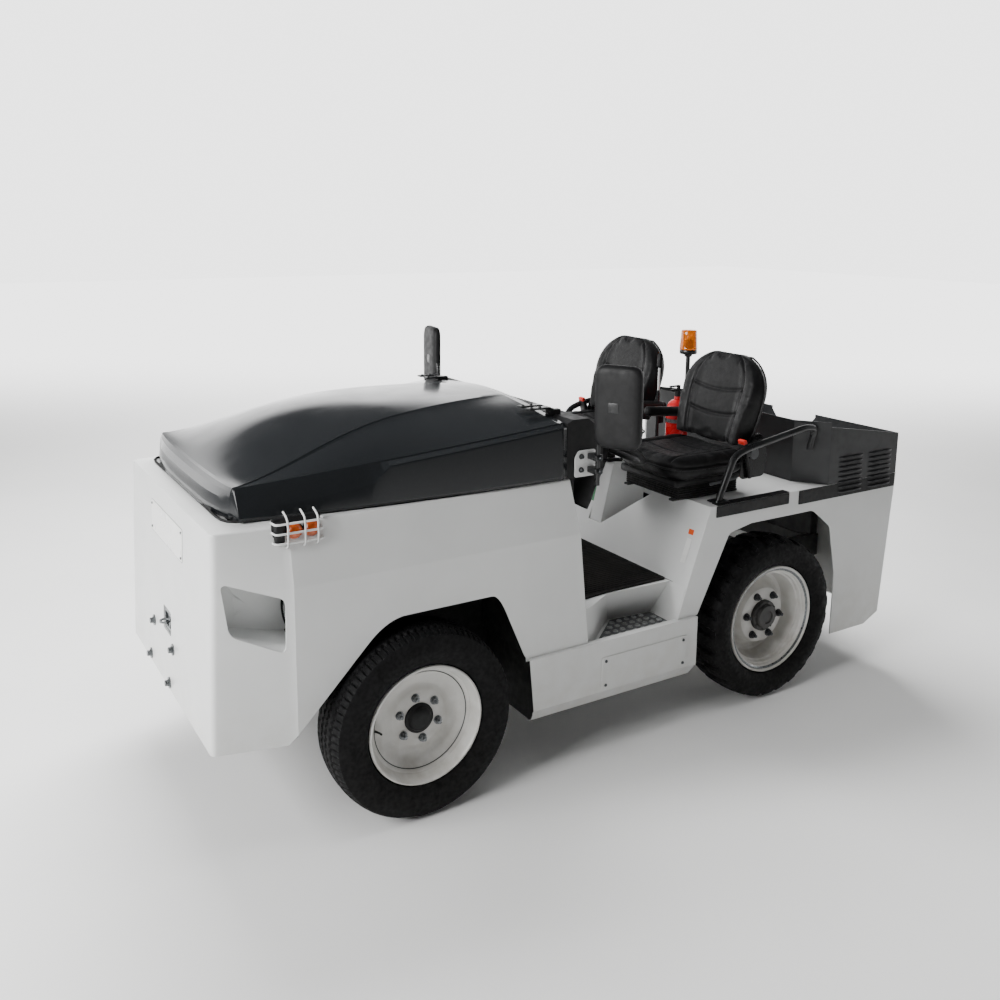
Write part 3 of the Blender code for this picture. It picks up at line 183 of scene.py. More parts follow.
def relief(tree, shader, height, depth_mm, strength=1.0, under=None):
    """Bump from a height pattern of a real depth, on top of another bump where given."""
    inputs = {"Height": height, "Distance": depth_mm / 1000, "Strength": strength}
    if under is not None:
        inputs["Normal"] = under
    made = add_node(tree, "ShaderNodeBump", inputs)
    tree.links.new(made.outputs["Normal"], shader.inputs["Normal"])
    return made.outputs["Normal"]


def height_above_floor(tree, coordinates, low, high):
    """One at the floor end of a height range and zero at its upper end."""
    parts = add_node(tree, "ShaderNodeSeparateXYZ", {"Vector": coordinates})
    return spread(tree, parts.outputs["Z"], 1.0, 0.0, low, high)


def product(tree, first, second):
    return add_node(tree, "ShaderNodeMath", {0: first, 1: second}, operation="MULTIPLY").outputs[0]


def paint(name, colour, dusty, roughness=0.34, coat=0.25):
    """Powder coat: faint orange peel, slow changes of gloss, and road dust low down."""
    material, tree, shader, place = new_finish(name, colour, roughness, Coat_Weight=coat,
                                               Coat_Roughness=0.12)
    patches = noise(tree, place, 420, 4)
    dust = product(tree, height_above_floor(tree, place, 0.15, 0.62),
                   spread(tree, noise(tree, place, 60, 5), 0.15, 0.7))
    shade = blend_colours(tree, spread(tree, patches, 0, 1), colour, faded(colour))
    tree.links.new(blend_colours(tree, dust, shade, dusty), shader.inputs["Base Color"])
    tree.links.new(spread(tree, noise(tree, place, 90, 3), roughness - 0.04, roughness + 0.08),
                   shader.inputs["Roughness"])
    relief(tree, shader, noise(tree, place, 2.6, 1), 0.05, 0.35)
    return material


def faded(colour, share=0.965):
    """The same hex colour, slightly darker."""
    return "#" + "".join("%02X" % int(int(colour[i:i + 2], 16) * share) for i in (1, 3, 5))


def smoked_gloss():
    """Dark smoked gel coat: deep gloss with a very fine metallic fleck and faint haze."""
    material, tree, shader, place = new_finish("smoked gel coat", "#1E2022", 0.17, Coat_Weight=0.16,
                                               Specular_IOR_Level=0.30,
                                               Coat_Roughness=0.045)
    fleck = spread(tree, noise(tree, place, 1.6, 2), 0, 1, 0.52, 0.72)
    tree.links.new(blend_colours(tree, fleck, "#1C1E20", "#252729"), shader.inputs["Base Color"])
    tree.links.new(spread(tree, noise(tree, place, 160, 4), 0.13, 0.22), shader.inputs["Roughness"])
    relief(tree, shader, noise(tree, place, 30, 2), 0.10, 0.12)
    return material


def moulded_plastic(name="black moulded plastic", colour="#111112", roughness=0.52, grain_mm=1.4):
    """Textured plastic: a fine pebble grain, with dust that greys it a little in patches."""
    material, tree, shader, place = new_finish(name, colour, roughness, Specular_IOR_Level=0.32)
    cells = add_node(tree, "ShaderNodeTexVoronoi", {"Vector": place, "Scale": 1000 / grain_mm})
    relief(tree, shader, cells.outputs["Distance"], 0.12, 0.45)
    tree.links.new(blend_colours(tree, spread(tree, noise(tree, place, 70, 4), 0, 1), colour,
                                 lifted(colour, 7)),
                   shader.inputs["Base Color"])
    tree.links.new(spread(tree, noise(tree, place, 25, 3), roughness - 0.06, roughness + 0.10),
                   shader.inputs["Roughness"])
    return material


def lifted(colour, steps):
    """The same hex colour, lighter by some steps of 255."""
    return "#" + "".join("%02X" % min(255, int(colour[i:i + 2], 16) + steps) for i in (1, 3, 5))


def coated_steel(name, colour, roughness=0.42, dusty="#5B5852"):
    """Black powder-coated steel with faint orange peel and dust low down."""
    material, tree, shader, place = new_finish(name, colour, roughness, Coat_Weight=0.15, Coat_Roughness=0.2)
    shade = blend_colours(tree, spread(tree, noise(tree, place, 130, 5), 0, 1), colour, lifted(colour, 9))
    dust = product(tree, height_above_floor(tree, place, 0.05, 0.75),
                   spread(tree, noise(tree, place, 45, 5), 0.1, 0.55))
    tree.links.new(blend_colours(tree, dust, shade, dusty), shader.inputs["Base Color"])
    tree.links.new(spread(tree, noise(tree, place, 50, 4), roughness - 0.08, roughness + 0.12),
                   shader.inputs["Roughness"])
    relief(tree, shader, noise(tree, place, 2.2, 2), 0.06, 0.5)
    return material


def bare_metal(name, colour, roughness=0.34, size_mm=7):
    """Zinc-plated or machined steel with streaks of duller plating."""
    material, tree, shader, place = new_finish(name, colour, roughness, metallic=1.0)
    tree.links.new(blend_colours(tree, spread(tree, noise(tree, place, size_mm, 4), 0, 1), colour,
                                 faded(colour, 0.72)),
                   shader.inputs["Base Color"])
    tree.links.new(spread(tree, noise(tree, place, size_mm * 2, 4), roughness - 0.1, roughness + 0.16),
                   shader.inputs["Roughness"])
    relief(tree, shader, noise(tree, place, 1.5, 2), 0.03, 0.4)
    return material


def tyre_rubber():
    """Matte black rubber with a fine mould grain and pale dust in its lower parts."""
    material, tree, shader, place = new_finish("tyre rubber", "#131314", 0.72, Specular_IOR_Level=0.18)
    shade = blend_colours(tree, spread(tree, noise(tree, place, 38, 5), 0, 1), "#080809", "#111112")
    dust = product(tree, height_above_floor(tree, place, 0.0, 0.42),
                   spread(tree, noise(tree, place, 22, 5), 0.0, 0.5))
    tree.links.new(blend_colours(tree, dust, shade, "#242321"), shader.inputs["Base Color"])
    tree.links.new(spread(tree, noise(tree, place, 14, 3), 0.62, 0.84), shader.inputs["Roughness"])
    relief(tree, shader, noise(tree, place, 1.3, 3), 0.12, 0.5)
    return material


def grained_vinyl():
    """Black upholstery vinyl: leather-like cells, soft gloss changes and a faint sheen."""
    material, tree, shader, place = new_finish("black grained vinyl", "#161617", 0.46,
                                               Specular_IOR_Level=0.28, Sheen_Weight=0.03,
                                               Sheen_Roughness=0.4)
    cells = add_node(tree, "ShaderNodeTexVoronoi", {"Vector": place, "Scale": 420.0},
                     feature="DISTANCE_TO_EDGE")
    under = relief(tree, shader, noise(tree, place, 55, 3), 1.2, 0.25)
    relief(tree, shader, spread(tree, cells.outputs["Distance"], 0, 1, 0.0, 0.12), 0.16, 0.5, under)
    tree.links.new(blend_colours(tree, spread(tree, noise(tree, place, 45, 4), 0, 1), "#0B0B0C", "#141415"),
                   shader.inputs["Base Color"])
    tree.links.new(spread(tree, noise(tree, place, 18, 3), 0.38, 0.56), shader.inputs["Roughness"])
    return material


def lens_plastic(name, colour, transmission, roughness=0.12, ribs_mm=0.0):
    """Coloured lens: partly clear plastic, with moulded ribs round it where asked."""
    material, tree, shader, place = new_finish(name, colour, roughness, Transmission_Weight=transmission,
                                               IOR=1.49, Coat_Weight=0.6, Coat_Roughness=0.05)
    tree.links.new(blend_colours(tree, spread(tree, noise(tree, place, 24, 3), 0, 1), colour,
                                 faded(colour, 0.82)),
                   shader.inputs["Base Color"])
    if ribs_mm:
        wave = add_node(tree, "ShaderNodeTexWave", {"Vector": place, "Scale": 1000 / (ribs_mm * 20)},
                        bands_direction="Z", wave_profile="SIN")
        relief(tree, shader, wave.outputs["Fac"], 0.6, 0.8)
    else:
        relief(tree, shader, noise(tree, place, 6, 1), 0.1, 0.3)
    return material


def mirror_glass():
    """Silvered glass with the faintest film of dust."""
    material, tree, shader, place = new_finish("silvered glass", "#D8DCDD", 0.03, metallic=1.0)
    tree.links.new(spread(tree, noise(tree, place, 60, 4), 0.02, 0.09), shader.inputs["Roughness"])
    return material


def ribbed_rubber():
    """Floor mat rubber, greyed by footsteps."""
    material, tree, shader, place = new_finish("floor mat rubber", "#121212", 0.7, Specular_IOR_Level=0.25)
    tree.links.new(blend_colours(tree, spread(tree, noise(tree, place, 110, 5), 0, 1), "#101010", "#1B1A19"),
                   shader.inputs["Base Color"])
    relief(tree, shader, noise(tree, place, 1.2, 2), 0.1, 0.6)
    return material


def studio_paper():
    """Matte paper floor; far behind the tug it glows softly, so that it meets the bright room."""
    material, tree, shader, place = new_finish("studio paper", "#F4F4F3", 0.9)
    tree.links.new(blend_colours(tree, spread(tree, noise(tree, place, 900, 3), 0, 1), "#F5F5F4", "#F2F2F1"),
                   shader.inputs["Base Color"])
    away = add_node(tree, "ShaderNodeVectorMath", {0: place, 1: (-0.523, -0.852, 0.0)},
                    operation="DOT_PRODUCT")
    glow = add_node(tree, "ShaderNodeMapRange",
                    {"Value": away.outputs["Value"], "From Min": 2.2, "From Max": 11.0,
                                                 "To Min": 0.0, "To Max": BRIGHT_ROOM},
                    interpolation_type="SMOOTHERSTEP")
    shader.inputs["Emission Color"].default_value = linear("#FFFFFF")
    tree.links.new(glow.outputs["Result"], shader.inputs["Emission Strength"])
    return material


# ---------------------------------------------------------------- mesh workshop
def grid_faces(rows, columns, wrap_rows=False, wrap_columns=False):
    """Quads between neighbours of a grid of points, numbered row by row."""
    i = np.arange(rows if wrap_rows else rows - 1)[:, None]
    j = np.arange(columns if wrap_columns else columns - 1)[None, :]
    following, beside = (i + 1) % rows, (j + 1) % columns
    corners = (i * columns + j, i * columns + beside, following * columns + beside, following * columns + j)
    return np.stack(np.broadcast_arrays(*corners), -1).reshape(-1, 4)


def new_object(name, points, faces, material):
    """A linked object from points and lists of faces, with its material."""
    mesh = bpy.data.meshes.new(name)
    rows = [face for group in faces for face in np.asarray(group).tolist()]
    mesh.from_pydata(np.asarray(points, float).tolist(), [], rows)
    made = bpy.data.objects.new(name, mesh)
    bpy.context.scene.collection.objects.link(made)
    mesh.materials.append(material)
    return made


def combined(*shapes):
    """Several (points, faces) shapes as one."""
    points, faces, start = [], [], 0
    for shape_points, shape_faces in shapes:
        points.append(np.asarray(shape_points, float))
        faces += [np.asarray(group) + start for group in shape_faces]
        start += len(shape_points)
    return np.concatenate(points), faces


def clean(made, angle=38.0, weld=1e-5, outward=True):
    """Welds seams and poles, turns faces outward and marks edges sharper than an angle."""
    shape = bmesh.new()
    shape.from_mesh(made.data)
    bmesh.ops.remove_doubles(shape, verts=shape.verts, dist=weld)
    bmesh.ops.dissolve_degenerate(shape, edges=shape.edges, dist=1e-6)
    if outward:
        bmesh.ops.recalc_face_normals(shape, faces=shape.faces)
    shape.to_mesh(made.data)
    shape.free()
    made.data.shade_smooth()
    made.data.set_sharp_from_angle(angle=math.radians(angle))
    return made


def piece(name, shape, material, body="chassis", angle=38.0, edge=0.0, replaces=()):
    """A finished piece: its mesh cleaned, its edges rounded, riding on a body."""
    made = clean(new_object(name, *shape, material), angle)
    if edge:
        round_edges(made, edge)
    return enrol(made, body, replaces)


def enrol(made, body, replaces=()):
    """Hangs a piece on the body it rides on, and hides the CAD nodes it stands for."""
    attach(made, body)
    if replaces:
        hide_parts(*replaces)
    return made


def round_edges(made, width, segments=2, angle=38.0):
    """Rounds every edge sharper than an angle, and keeps flat faces flat in shading."""
    bevel = made.modifiers.new("rounded edges", "BEVEL")
    bevel.width = width
    bevel.segments = segments
    bevel.limit_method = "ANGLE"
    bevel.angle_limit = math.radians(angle)
    bevel.harden_normals = True


def softened(node, width, material, body="chassis", segments=2, angle=25.0):
    """A copy of a CAD node with its flat faces joined up and its edges rounded."""
    made = bpy.data.objects.new(node + "_skin", NODES[node].data.copy())
    bpy.context.scene.collection.objects.link(made)
    shape = bmesh.new()
    shape.from_mesh(made.data)
    bmesh.ops.remove_doubles(shape, verts=shape.verts, dist=2e-5)
    bmesh.ops.dissolve_limit(shape, angle_limit=math.radians(0.6), verts=shape.verts, edges=shape.edges)
    shape.to_mesh(made.data)
    shape.free()
    made.data.materials.clear()
    made.data.materials.append(material)
    made.data.shade_smooth()
    made.data.set_sharp_from_angle(angle=math.radians(angle))
    round_edges(made, width, segments, angle)
    return enrol(made, body, (node,))


def revolved(profile, steps=48, arc=TAU):
    """Each (radius, height) point carried round the Z axis; poles weld shut later."""
    profile = np.asarray(profile, float)
    whole = abs(arc - TAU) < 1e-9
    turn = np.arange(steps if whole else steps + 1) * arc / steps
    points = np.stack([profile[:, None, 0] * np.cos(turn), profile[:, None, 0] * np.sin(turn),
                       np.broadcast_to(profile[:, None, 1], (len(profile), len(turn)))], -1)
    return points.reshape(-1, 3), [grid_faces(len(profile), len(turn), False, whole)]


def closed_ring(profile, steps=64):
    """A closed outline of (radius, height) points carried round the Z axis."""
    points, _ = revolved(profile, steps)
    return points, [grid_faces(len(profile), steps, True, True)]


def frames_along(path):
    """Two unit normals at each point of a path, carried along without twist."""
    path = np.asarray(path, float)
    tangent = np.gradient(path, axis=0)
    tangent /= np.linalg.norm(tangent, axis=1)[:, None]
    start = np.array([0, 0, 1.0]) if abs(tangent[0, 2]) < 0.9 else np.array([1.0, 0, 0])
    normal = np.cross(tangent[0], start)
    normals = []
    for along in tangent:
        normal = normal - along * (normal @ along)
        normal = normal / np.linalg.norm(normal)
        normals.append(normal)
    normals = np.array(normals)
    return normals, np.cross(tangent, normals)


def smooth_path(corners, radius=0.03, steps=5):
    """A polyline whose corners are replaced by arcs, as quadratic curves of a set reach."""
    corners = [np.asarray(c, float) for c in corners]
    path = [corners[0]]
    for before, corner, after in zip(corners, corners[1:], corners[2:]):
        reach = min(radius, 0.45 * np.linalg.norm(corner - before), 0.45 * np.linalg.norm(after - corner))
        first = corner + (before - corner) / np.linalg.norm(before - corner) * reach
        last = corner + (after - corner) / np.linalg.norm(after - corner) * reach
        for t in np.linspace(0, 1, steps + 1):
            path.append((1 - t) ** 2 * first + 2 * t * (1 - t) * corner + t ** 2 * last)
    path.append(corners[-1])
    return np.array(path)


def tube(path, radius, sides=14, capped=True):
    """A circle of a radius, or one radius a point, carried along a path."""
    path = np.asarray(path, float)
    side, up = frames_along(path)
    radius = np.broadcast_to(np.asarray(radius, float), len(path))
    turn = np.arange(sides) * TAU / sides
    ring = side[:, None] * np.cos(turn)[:, None] + up[:, None] * np.sin(turn)[:, None]
    points = path[:, None] + ring * radius[:, None, None]
    if capped:
        points = np.concatenate([np.repeat(path[:1, None], sides, 1), points,
                                 np.repeat(path[-1:, None], sides, 1)])
    return points.reshape(-1, 3), [grid_faces(len(points), sides, False, True)]


def rounded_box(low, high, radius, steps=3):
    """A box as a sphere's grid whose eight parts are moved out to the corners."""
    low, high = np.minimum(low, high).astype(float), np.maximum(low, high).astype(float)
    radius = min(radius, 0.499 * (high - low).min())
    quarter = np.linspace(0, math.pi / 2, steps + 1)
    turn = np.concatenate([quarter + k * math.pi / 2 for k in range(4)])
    sign_x = np.repeat([1, -1, -1, 1], steps + 1)
    sign_y = np.repeat([1, 1, -1, -1], steps + 1)
    rise = np.concatenate([quarter - math.pi / 2, quarter])
    sign_z = np.repeat([-1, 1], steps + 1)
    half = (high - low) / 2 - radius
    flat = np.cos(rise)[:, None]
    points = np.stack([sign_x * half[0] + radius * flat * np.cos(turn),
                       sign_y * half[1] + radius * flat * np.sin(turn),
                       np.broadcast_to((sign_z * half[2] + radius * np.sin(rise))[:, None],
                                       (len(rise), len(turn)))], -1)
    points += (low + high) / 2
    count, last = len(turn), len(rise) * len(turn)
    caps = [np.arange(count)[None, ::-1], np.arange(last - count, last)[None]]
    return points.reshape(-1, 3), [grid_faces(len(rise), count, False, True), *caps]


def extruded(outline, plane, low, high):
    """A flat outline pushed along the third axis, between two planes."""
    outline = np.asarray(outline, float)
    first, second, across = {"XY": (0, 1, 2), "XZ": (0, 2, 1), "YZ": (1, 2, 0)}[plane]
    points = np.zeros((2, len(outline), 3))
    points[:, :, first], points[:, :, second] = outline[:, 0], outline[:, 1]
    points[0, :, across], points[1, :, across] = low, high
    count = len(outline)
    caps = [np.arange(count)[None, ::-1], np.arange(count, 2 * count)[None]]
    return points.reshape(-1, 3), [grid_faces(2, count, False, True), *caps]


def rounded_outline(corners, radius, steps=5):
    """A closed outline whose corners become arcs."""
    corners = [np.asarray(c, float) for c in corners]
    path = []
    for k, corner in enumerate(corners):
        before, after = corners[k - 1], corners[(k + 1) % len(corners)]
        reach = min(radius, 0.45 * np.linalg.norm(corner - before), 0.45 * np.linalg.norm(after - corner))
        first = corner + (before - corner) / np.linalg.norm(before - corner) * reach
        last = corner + (after - corner) / np.linalg.norm(after - corner) * reach
        path += [(1 - t) ** 2 * first + 2 * t * (1 - t) * corner + t ** 2 * last for t in np.linspace(0, 1,
        steps + 1)]
    return np.array(path)


def turned_to(shape, direction, place):
    """A shape made round the Z axis, turned so that Z points in a direction, at a place."""
    turn = np.array(Vector(direction).to_track_quat("Z", "Y").to_matrix())
    points, faces = shape
    return np.asarray(points) @ turn.T + np.asarray(place, float), faces


def moved(shape, step):
    """A copy of a shape, moved by a step."""
    points, faces = shape
    return np.asarray(points) + np.asarray(step, float), faces


def mirrored(shape):
    """The same shape on the other side of the middle plane, with its faces turned back."""
    points, faces = shape
    return np.asarray(points) * (1, -1, 1), [np.asarray(group)[:, ::-1] for group in faces]


def both_sides(shape):
    """A shape and its mirror image across the middle of the vehicle."""
    return combined(shape, mirrored(shape))


def hex_bolt(size, washer=True):
    """A hexagon head with a chamfer on a round washer; size is over the flats."""
    across = size / math.cos(math.pi / 6) / 2
    thick = 0.12 * size if washer else 0.0
    head = revolved([(0, thick), (across, thick), (across, thick + 0.5 * size),
                     (across * 0.86, thick + 0.62 * size),
                     (0, thick + 0.62 * size)], 6)
    if not washer:
        return head
    return combined(head, revolved([(0, 0), (across * 1.25, 0), (across * 1.25, thick), (0, thick)], 20))


def dome_bolt(size):
    """A low round head with a socket in its top."""
    return revolved([(0, 0), (size / 2, 0), (size / 2, size * 0.12), (size * 0.40, size * 0.30),
                     (size * 0.22, size * 0.36), (size * 0.18, size * 0.20), (0, size * 0.20)], 16)


def bolts(places, direction, shape):
    """The same bolt at each place, pointing in one direction."""
    return combined(*[turned_to(shape, direction, place) for place in places])


def soft_min(first, second, reach):
    """The smaller of two heights, with the corner between them rounded over a reach."""
    near = np.clip(reach - np.abs(first - second), 0, None) / reach
    return np.minimum(first, second) - near * near * reach / 4


# ---------------------------------------------------------------- places, in metres
NOSE_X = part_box("front_body")[1].x
TAIL_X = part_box("rear_body")[0].x
FRONT_AXLE = (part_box("front_tyre_left")[0].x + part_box("front_tyre_left")[1].x) / 2
SIDE_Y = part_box("front_body")[1].y
BODY_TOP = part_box("front_body")[1].z
NOSE_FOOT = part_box("front_body")[0].z
BELT = 0.925
LEAN_IN = 0.050
FACET_LENGTH = 0.260
FACET_DRAW = 0.063
NOSE_LEAN = 0.030
SILL_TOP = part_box("side_sill_left")[1].z
HOOD_BACK = 0.2905
HOOD_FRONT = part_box("hood")[1].x
HOOD_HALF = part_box("hood")[1].y
HOOD_HALF_FRONT = 0.530
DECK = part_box("rear_body")[1].z
CAB_X = FRONT_AXLE - 0.728
SEAT_Y = 0.335


# ---------------------------------------------------------------- front body
def cab_edge(z):
    """The front body's rear edge leans forward with height."""
    return CAB_X + (z - SILL_TOP) * 0.105


def arch_height(x):
    """Lower edge of the front body's side at a place along it: sill, arch flanks and top."""
    ahead = x - FRONT_AXLE
    rear_flank = SILL_TOP + (ahead + 0.443) * 0.272 / 0.118
    front_flank = NOSE_FOOT + (0.480 - ahead) * 0.362 / 0.350
    arch = soft_min(soft_min(rear_flank, 0.752, 0.075), front_flank, 0.075)
    line = np.where(ahead < -0.443, SILL_TOP + 0.0005, arch)
    return np.maximum(np.where(ahead > 0.480, NOSE_FOOT, line), NOSE_FOOT)


def plan_line(z):
    """Half of the body's plan, one height a column: side, facet edge, facet, nose corner, nose
    plate; all lean in above the belt, and the nose leans back over its whole height."""
    up = np.clip((z - BELT) / (BODY_TOP - BELT), 0, 1)
    lean = LEAN_IN * up
    nose = NOSE_X - NOSE_LEAN * (z - NOSE_FOOT) / (BODY_TOP - NOSE_FOOT)
    x, y = np.empty_like(z), np.empty_like(z)
    facet_x = NOSE_X - FACET_LENGTH - 0.004 * up
    half = SIDE_Y - FACET_DRAW - 0.25 * lean
    t = ALONG[SIDE]
    back = cab_edge(z[SIDE])
    x[SIDE] = back + (facet_x[SIDE] - EDGE_CUT - back) * t
    y[SIDE] = SIDE_Y - lean[SIDE]
    t = ALONG[FACET]
    start_y = SIDE_Y - 0.004 - lean[FACET]
    x[FACET] = facet_x[FACET] + (nose[FACET] - 0.020 - facet_x[FACET]) * t
    y[FACET] = start_y + (half[FACET] + 0.004 - start_y) * t
    t = ALONG[CORNER]
    x[CORNER] = nose[CORNER] - 0.020 * (1 - t) ** 2
    y[CORNER] = half[CORNER] + 0.004 * (1 - t) ** 2 - 0.022 * t ** 2
    t = ALONG[PLATE]
    x[PLATE] = nose[PLATE]
    y[PLATE] = (half[PLATE] - 0.022) * (1 - t)
    return x, y


SIDE_COLUMNS, FACET_COLUMNS, CORNER_COLUMNS, PLATE_COLUMNS = 110, 12, 7, 10
SIDE = slice(0, SIDE_COLUMNS)
FACET = slice(SIDE.stop, SIDE.stop + FACET_COLUMNS)
CORNER = slice(FACET.stop, FACET.stop + CORNER_COLUMNS)
PLATE = slice(CORNER.stop, CORNER.stop + PLATE_COLUMNS)
ALONG = np.concatenate([np.linspace(0, 1, SIDE_COLUMNS), np.linspace(0, 1, FACET_COLUMNS + 1)[:-1],
                        np.linspace(0, 1, CORNER_COLUMNS + 1)[:-1], np.linspace(0, 1, PLATE_COLUMNS)])
EDGE_CUT = 0.010


def front_skin():
    """The outer skin: the plan line carried up through a list of levels. A point below the lower
    edge is raised onto it; raising moves it along the leaning plan, so the two are solved in turn."""
    levels = np.unique(np.concatenate([np.linspace(NOSE_FOOT, BELT - 0.004, 22),
                                       [BELT - 0.0015, BELT + 0.0015],
                                       np.linspace(BELT + 0.012, BODY_TOP - 0.006, 10)]))
    columns = len(ALONG)
    rows = []
    for level in levels:
        z = np.full(columns, level)
        for _ in range(12):
            x, y = plan_line(z)
            z = np.maximum(level, arch_height(x))
        z = np.where(x > NOSE_X - FACET_LENGTH - 0.012, np.minimum(z, BODY_TOP - 0.014), z)
        x, y = plan_line(z)
        half = np.column_stack([x, y, z])
        rows.append(np.concatenate([half, half[-2::-1] * (1, -1, 1)]))
    rim = rows[-1].copy()
    rows.append(rim + np.column_stack([np.zeros(len(rim)), -0.004 * np.sign(rim[:, 1]),
                                       np.full(len(rim), 0.004)]))
    shelf_x = np.minimum(rim[:, 0], HOOD_FRONT + 0.004)
    inner = np.interp(shelf_x, [HOOD_BACK, HOOD_FRONT - 0.12, HOOD_FRONT + 0.004],
                      [HOOD_HALF - 0.020, HOOD_HALF_FRONT + 0.004, HOOD_HALF_FRONT - 0.03])
    shelf_y = np.clip(rim[:, 1], -inner, inner)
    rows.append(np.column_stack([shelf_x, shelf_y, np.full(len(rim), BODY_TOP)]))
    inset_x = np.minimum(shelf_x, HOOD_FRONT - 0.030)
    rows.append(np.column_stack([inset_x, shelf_y * 0.94, np.full(len(rim), BODY_TOP)]))
    rows.append(np.column_stack([inset_x, shelf_y * 0.94, np.full(len(rim), BODY_TOP - 0.02)]))
    points = np.concatenate(rows)
    return points, [grid_faces(len(rows), len(rim))]


POCKET = rounded_outline([(1.600, 0.962), (1.404, 0.890), (1.408, 0.705), (1.578, 0.785)], 0.026)


def build_front_body(white):
    """The white nose body, from its plan lines, with its pockets and arches."""
    skin = clean(new_object("front_body_skin", *front_skin(), white), 16, 3e-4)
    shell = skin.modifiers.new("sheet", "SOLIDIFY")
    shell.thickness = 0.006
    shell.offset = -1
    pocket = new_object("pocket_cutter", *both_sides(extruded(POCKET, "XZ", 0.50, 0.70)), white)
    clean(pocket)
    hitch = new_object("hitch_cutter", *rounded_box((NOSE_X - 0.06, -0.055, 0.595),
                                                    (NOSE_X + 0.03, 0.055, 0.685), 0.008), white)
    clean(hitch)
    for cutter in (pocket, hitch):
        cut = skin.modifiers.new("cut", "BOOLEAN")
        cut.operation = "DIFFERENCE"
        cut.solver = "EXACT"
        cut.object = cutter
    apply_modifiers(skin)
    for cutter in (pocket, hitch):
        bpy.data.objects.remove(cutter)
    skin.data.shade_smooth()
    skin.data.set_sharp_from_angle(angle=math.radians(16))
    round_edges(skin, 0.0012, 2, 50)
    enrol(skin, "chassis", ("front_body",))


def apply_modifiers(made):
    """Makes the modifiers' result the piece's own mesh."""
    graph = bpy.context.evaluated_depsgraph_get()
    graph.update()
    result = bpy.data.meshes.new_from_object(made.evaluated_get(graph))
    made.modifiers.clear()
    made.data = result


def build_headlamps(finishes):
    """Pocket lining behind the skin, and a round lamp that looks forward from its rear wall."""
    inner = POCKET.copy()
    centre = inner.mean(0)
    mouth = centre + (inner - centre) * 1.012
    depths = ((0.0, mouth), (0.30, mouth), (1.0, centre + (inner - centre) * 0.93),
              (1.0, centre + (inner - centre) * 0.4))
    rows = []
    for share, outline in depths:
        skin_y = SIDE_Y - 0.008 - (outline[:, 0] - (NOSE_X - FACET_LENGTH)).clip(0) * FACET_DRAW / (FACET_LENGTH - 0.02)
        deep = np.interp(outline[:, 0], [1.41, 1.525, 1.60], [0.478, 0.478, 0.548])
        hollow = 0.075 * np.clip((1.50 - outline[:, 0]) / 0.09, 0, 1) * min(1.0, 2.5 * share)
        rows.append(np.column_stack([outline[:, 0] - hollow, skin_y + (deep - skin_y) * share,
                                     outline[:, 1]]))
    last = rows[-1].mean(0)
    rows.append(np.repeat(last[None], len(inner), 0))
    lining = (np.concatenate(rows), [grid_faces(len(rows), len(inner), False, True)])
    made = clean(new_object("headlamp_pockets", *both_sides(lining), finishes["white"]), 30, outward=False)
    shell = made.modifiers.new("wall", "SOLIDIFY")
    shell.thickness = 0.003
    shell.offset = 0
    enrol(made, "chassis", ("headlamp_left", "headlamp_right"))
    place, look = (1.352, 0.553, 0.812), (1.0, 0.10, 0.0)
    bezel = turned_to(revolved([(0, -0.030), (0.060, -0.030), (0.074, -0.004), (0.078, 0.006), (0.075, 0.012),
                                (0.066, 0.010), (0.063, 0.002), (0.0, 0.002)], 48), look, place)
    piece("headlamp_bezels", both_sides(bezel), finishes["plastic"])
    bowl = turned_to(revolved([(0.062, 0.006), (0.045, 0.0035), (0.022, 0.0026), (0, 0.0024)], 40), look,
                     place)
    piece("headlamp_reflectors", both_sides(bowl), finishes["chrome"])
    glass = turned_to(revolved([(0.064, 0.0075), (0.058, 0.014), (0.034, 0.019), (0, 0.021), (0, 0.018),
                                (0.034, 0.016), (0.056, 0.0115), (0.062, 0.0075)], 48), look, place)
    piece("headlamp_glasses", both_sides(glass), finishes["clear"])


def build_nose_details(finishes):
    """Blank badge plate with its backing and rivets, four bumper studs, and the tow pin's fittings."""
    lean = math.atan2(NOSE_LEAN, BODY_TOP - NOSE_FOOT)
    ahead = (math.cos(lean), 0.0, math.sin(lean))

    def on_nose(y, z, proud=0.0):
        x = NOSE_X - NOSE_LEAN * (z - NOSE_FOOT) / (BODY_TOP - NOSE_FOOT)
        return (x + proud, y, z)
    plate = rounded_outline([(-0.225, -0.058), (0.225, -0.058), (0.225, 0.058), (-0.225, 0.058)], 0.012)
    badge = extruded(plate, "YZ", 0.0, 0.0022)
    turn = np.array([[math.cos(lean), 0, -math.sin(lean)], [0, 1, 0], [math.sin(lean), 0, math.cos(lean)]])
    points = badge[0] @ turn.T + np.array(on_nose(0.0, 0.985, -0.0006))
    piece("blank_badge_plate", (points, badge[1]), finishes["plate"], edge=0.0008)
    # Grey backing plate, a little bigger than the badge: its grey rim is painted shade, standing for the shadowed
    # recess line round the badge plate.
    backing = extruded(plate * (1.014, 1.052), "YZ", 0.0, 0.0011)
    points = backing[0] @ turn.T + np.array(on_nose(0.0, 0.985, -0.0006))
    piece("badge_backing_recess_shade", (points, backing[1]), finishes["recess_shade_grey"])
    rivets = bolts([on_nose(y, z, 0.0014) for y in (-0.212, 0.212) for z in (0.94, 1.03)], ahead,
                   dome_bolt(0.010))
    piece("badge_rivets", rivets, finishes["zinc"])
    stud = combined(revolved([(0, 0), (0.021, 0), (0.021, 0.004), (0, 0.004)], 24),
                    moved(hex_bolt(0.019), (0, 0, 0.004)))
    places = [on_nose(y, z) for y, z in ((-0.204, 0.568), (0.081, 0.558), (-0.262, 0.412), (0.028, 0.410))]
    piece("bumper_studs", bolts(places, ahead, stud), finishes["zinc"])
    softened("front_hitch", 0.0018, finishes["zinc"])


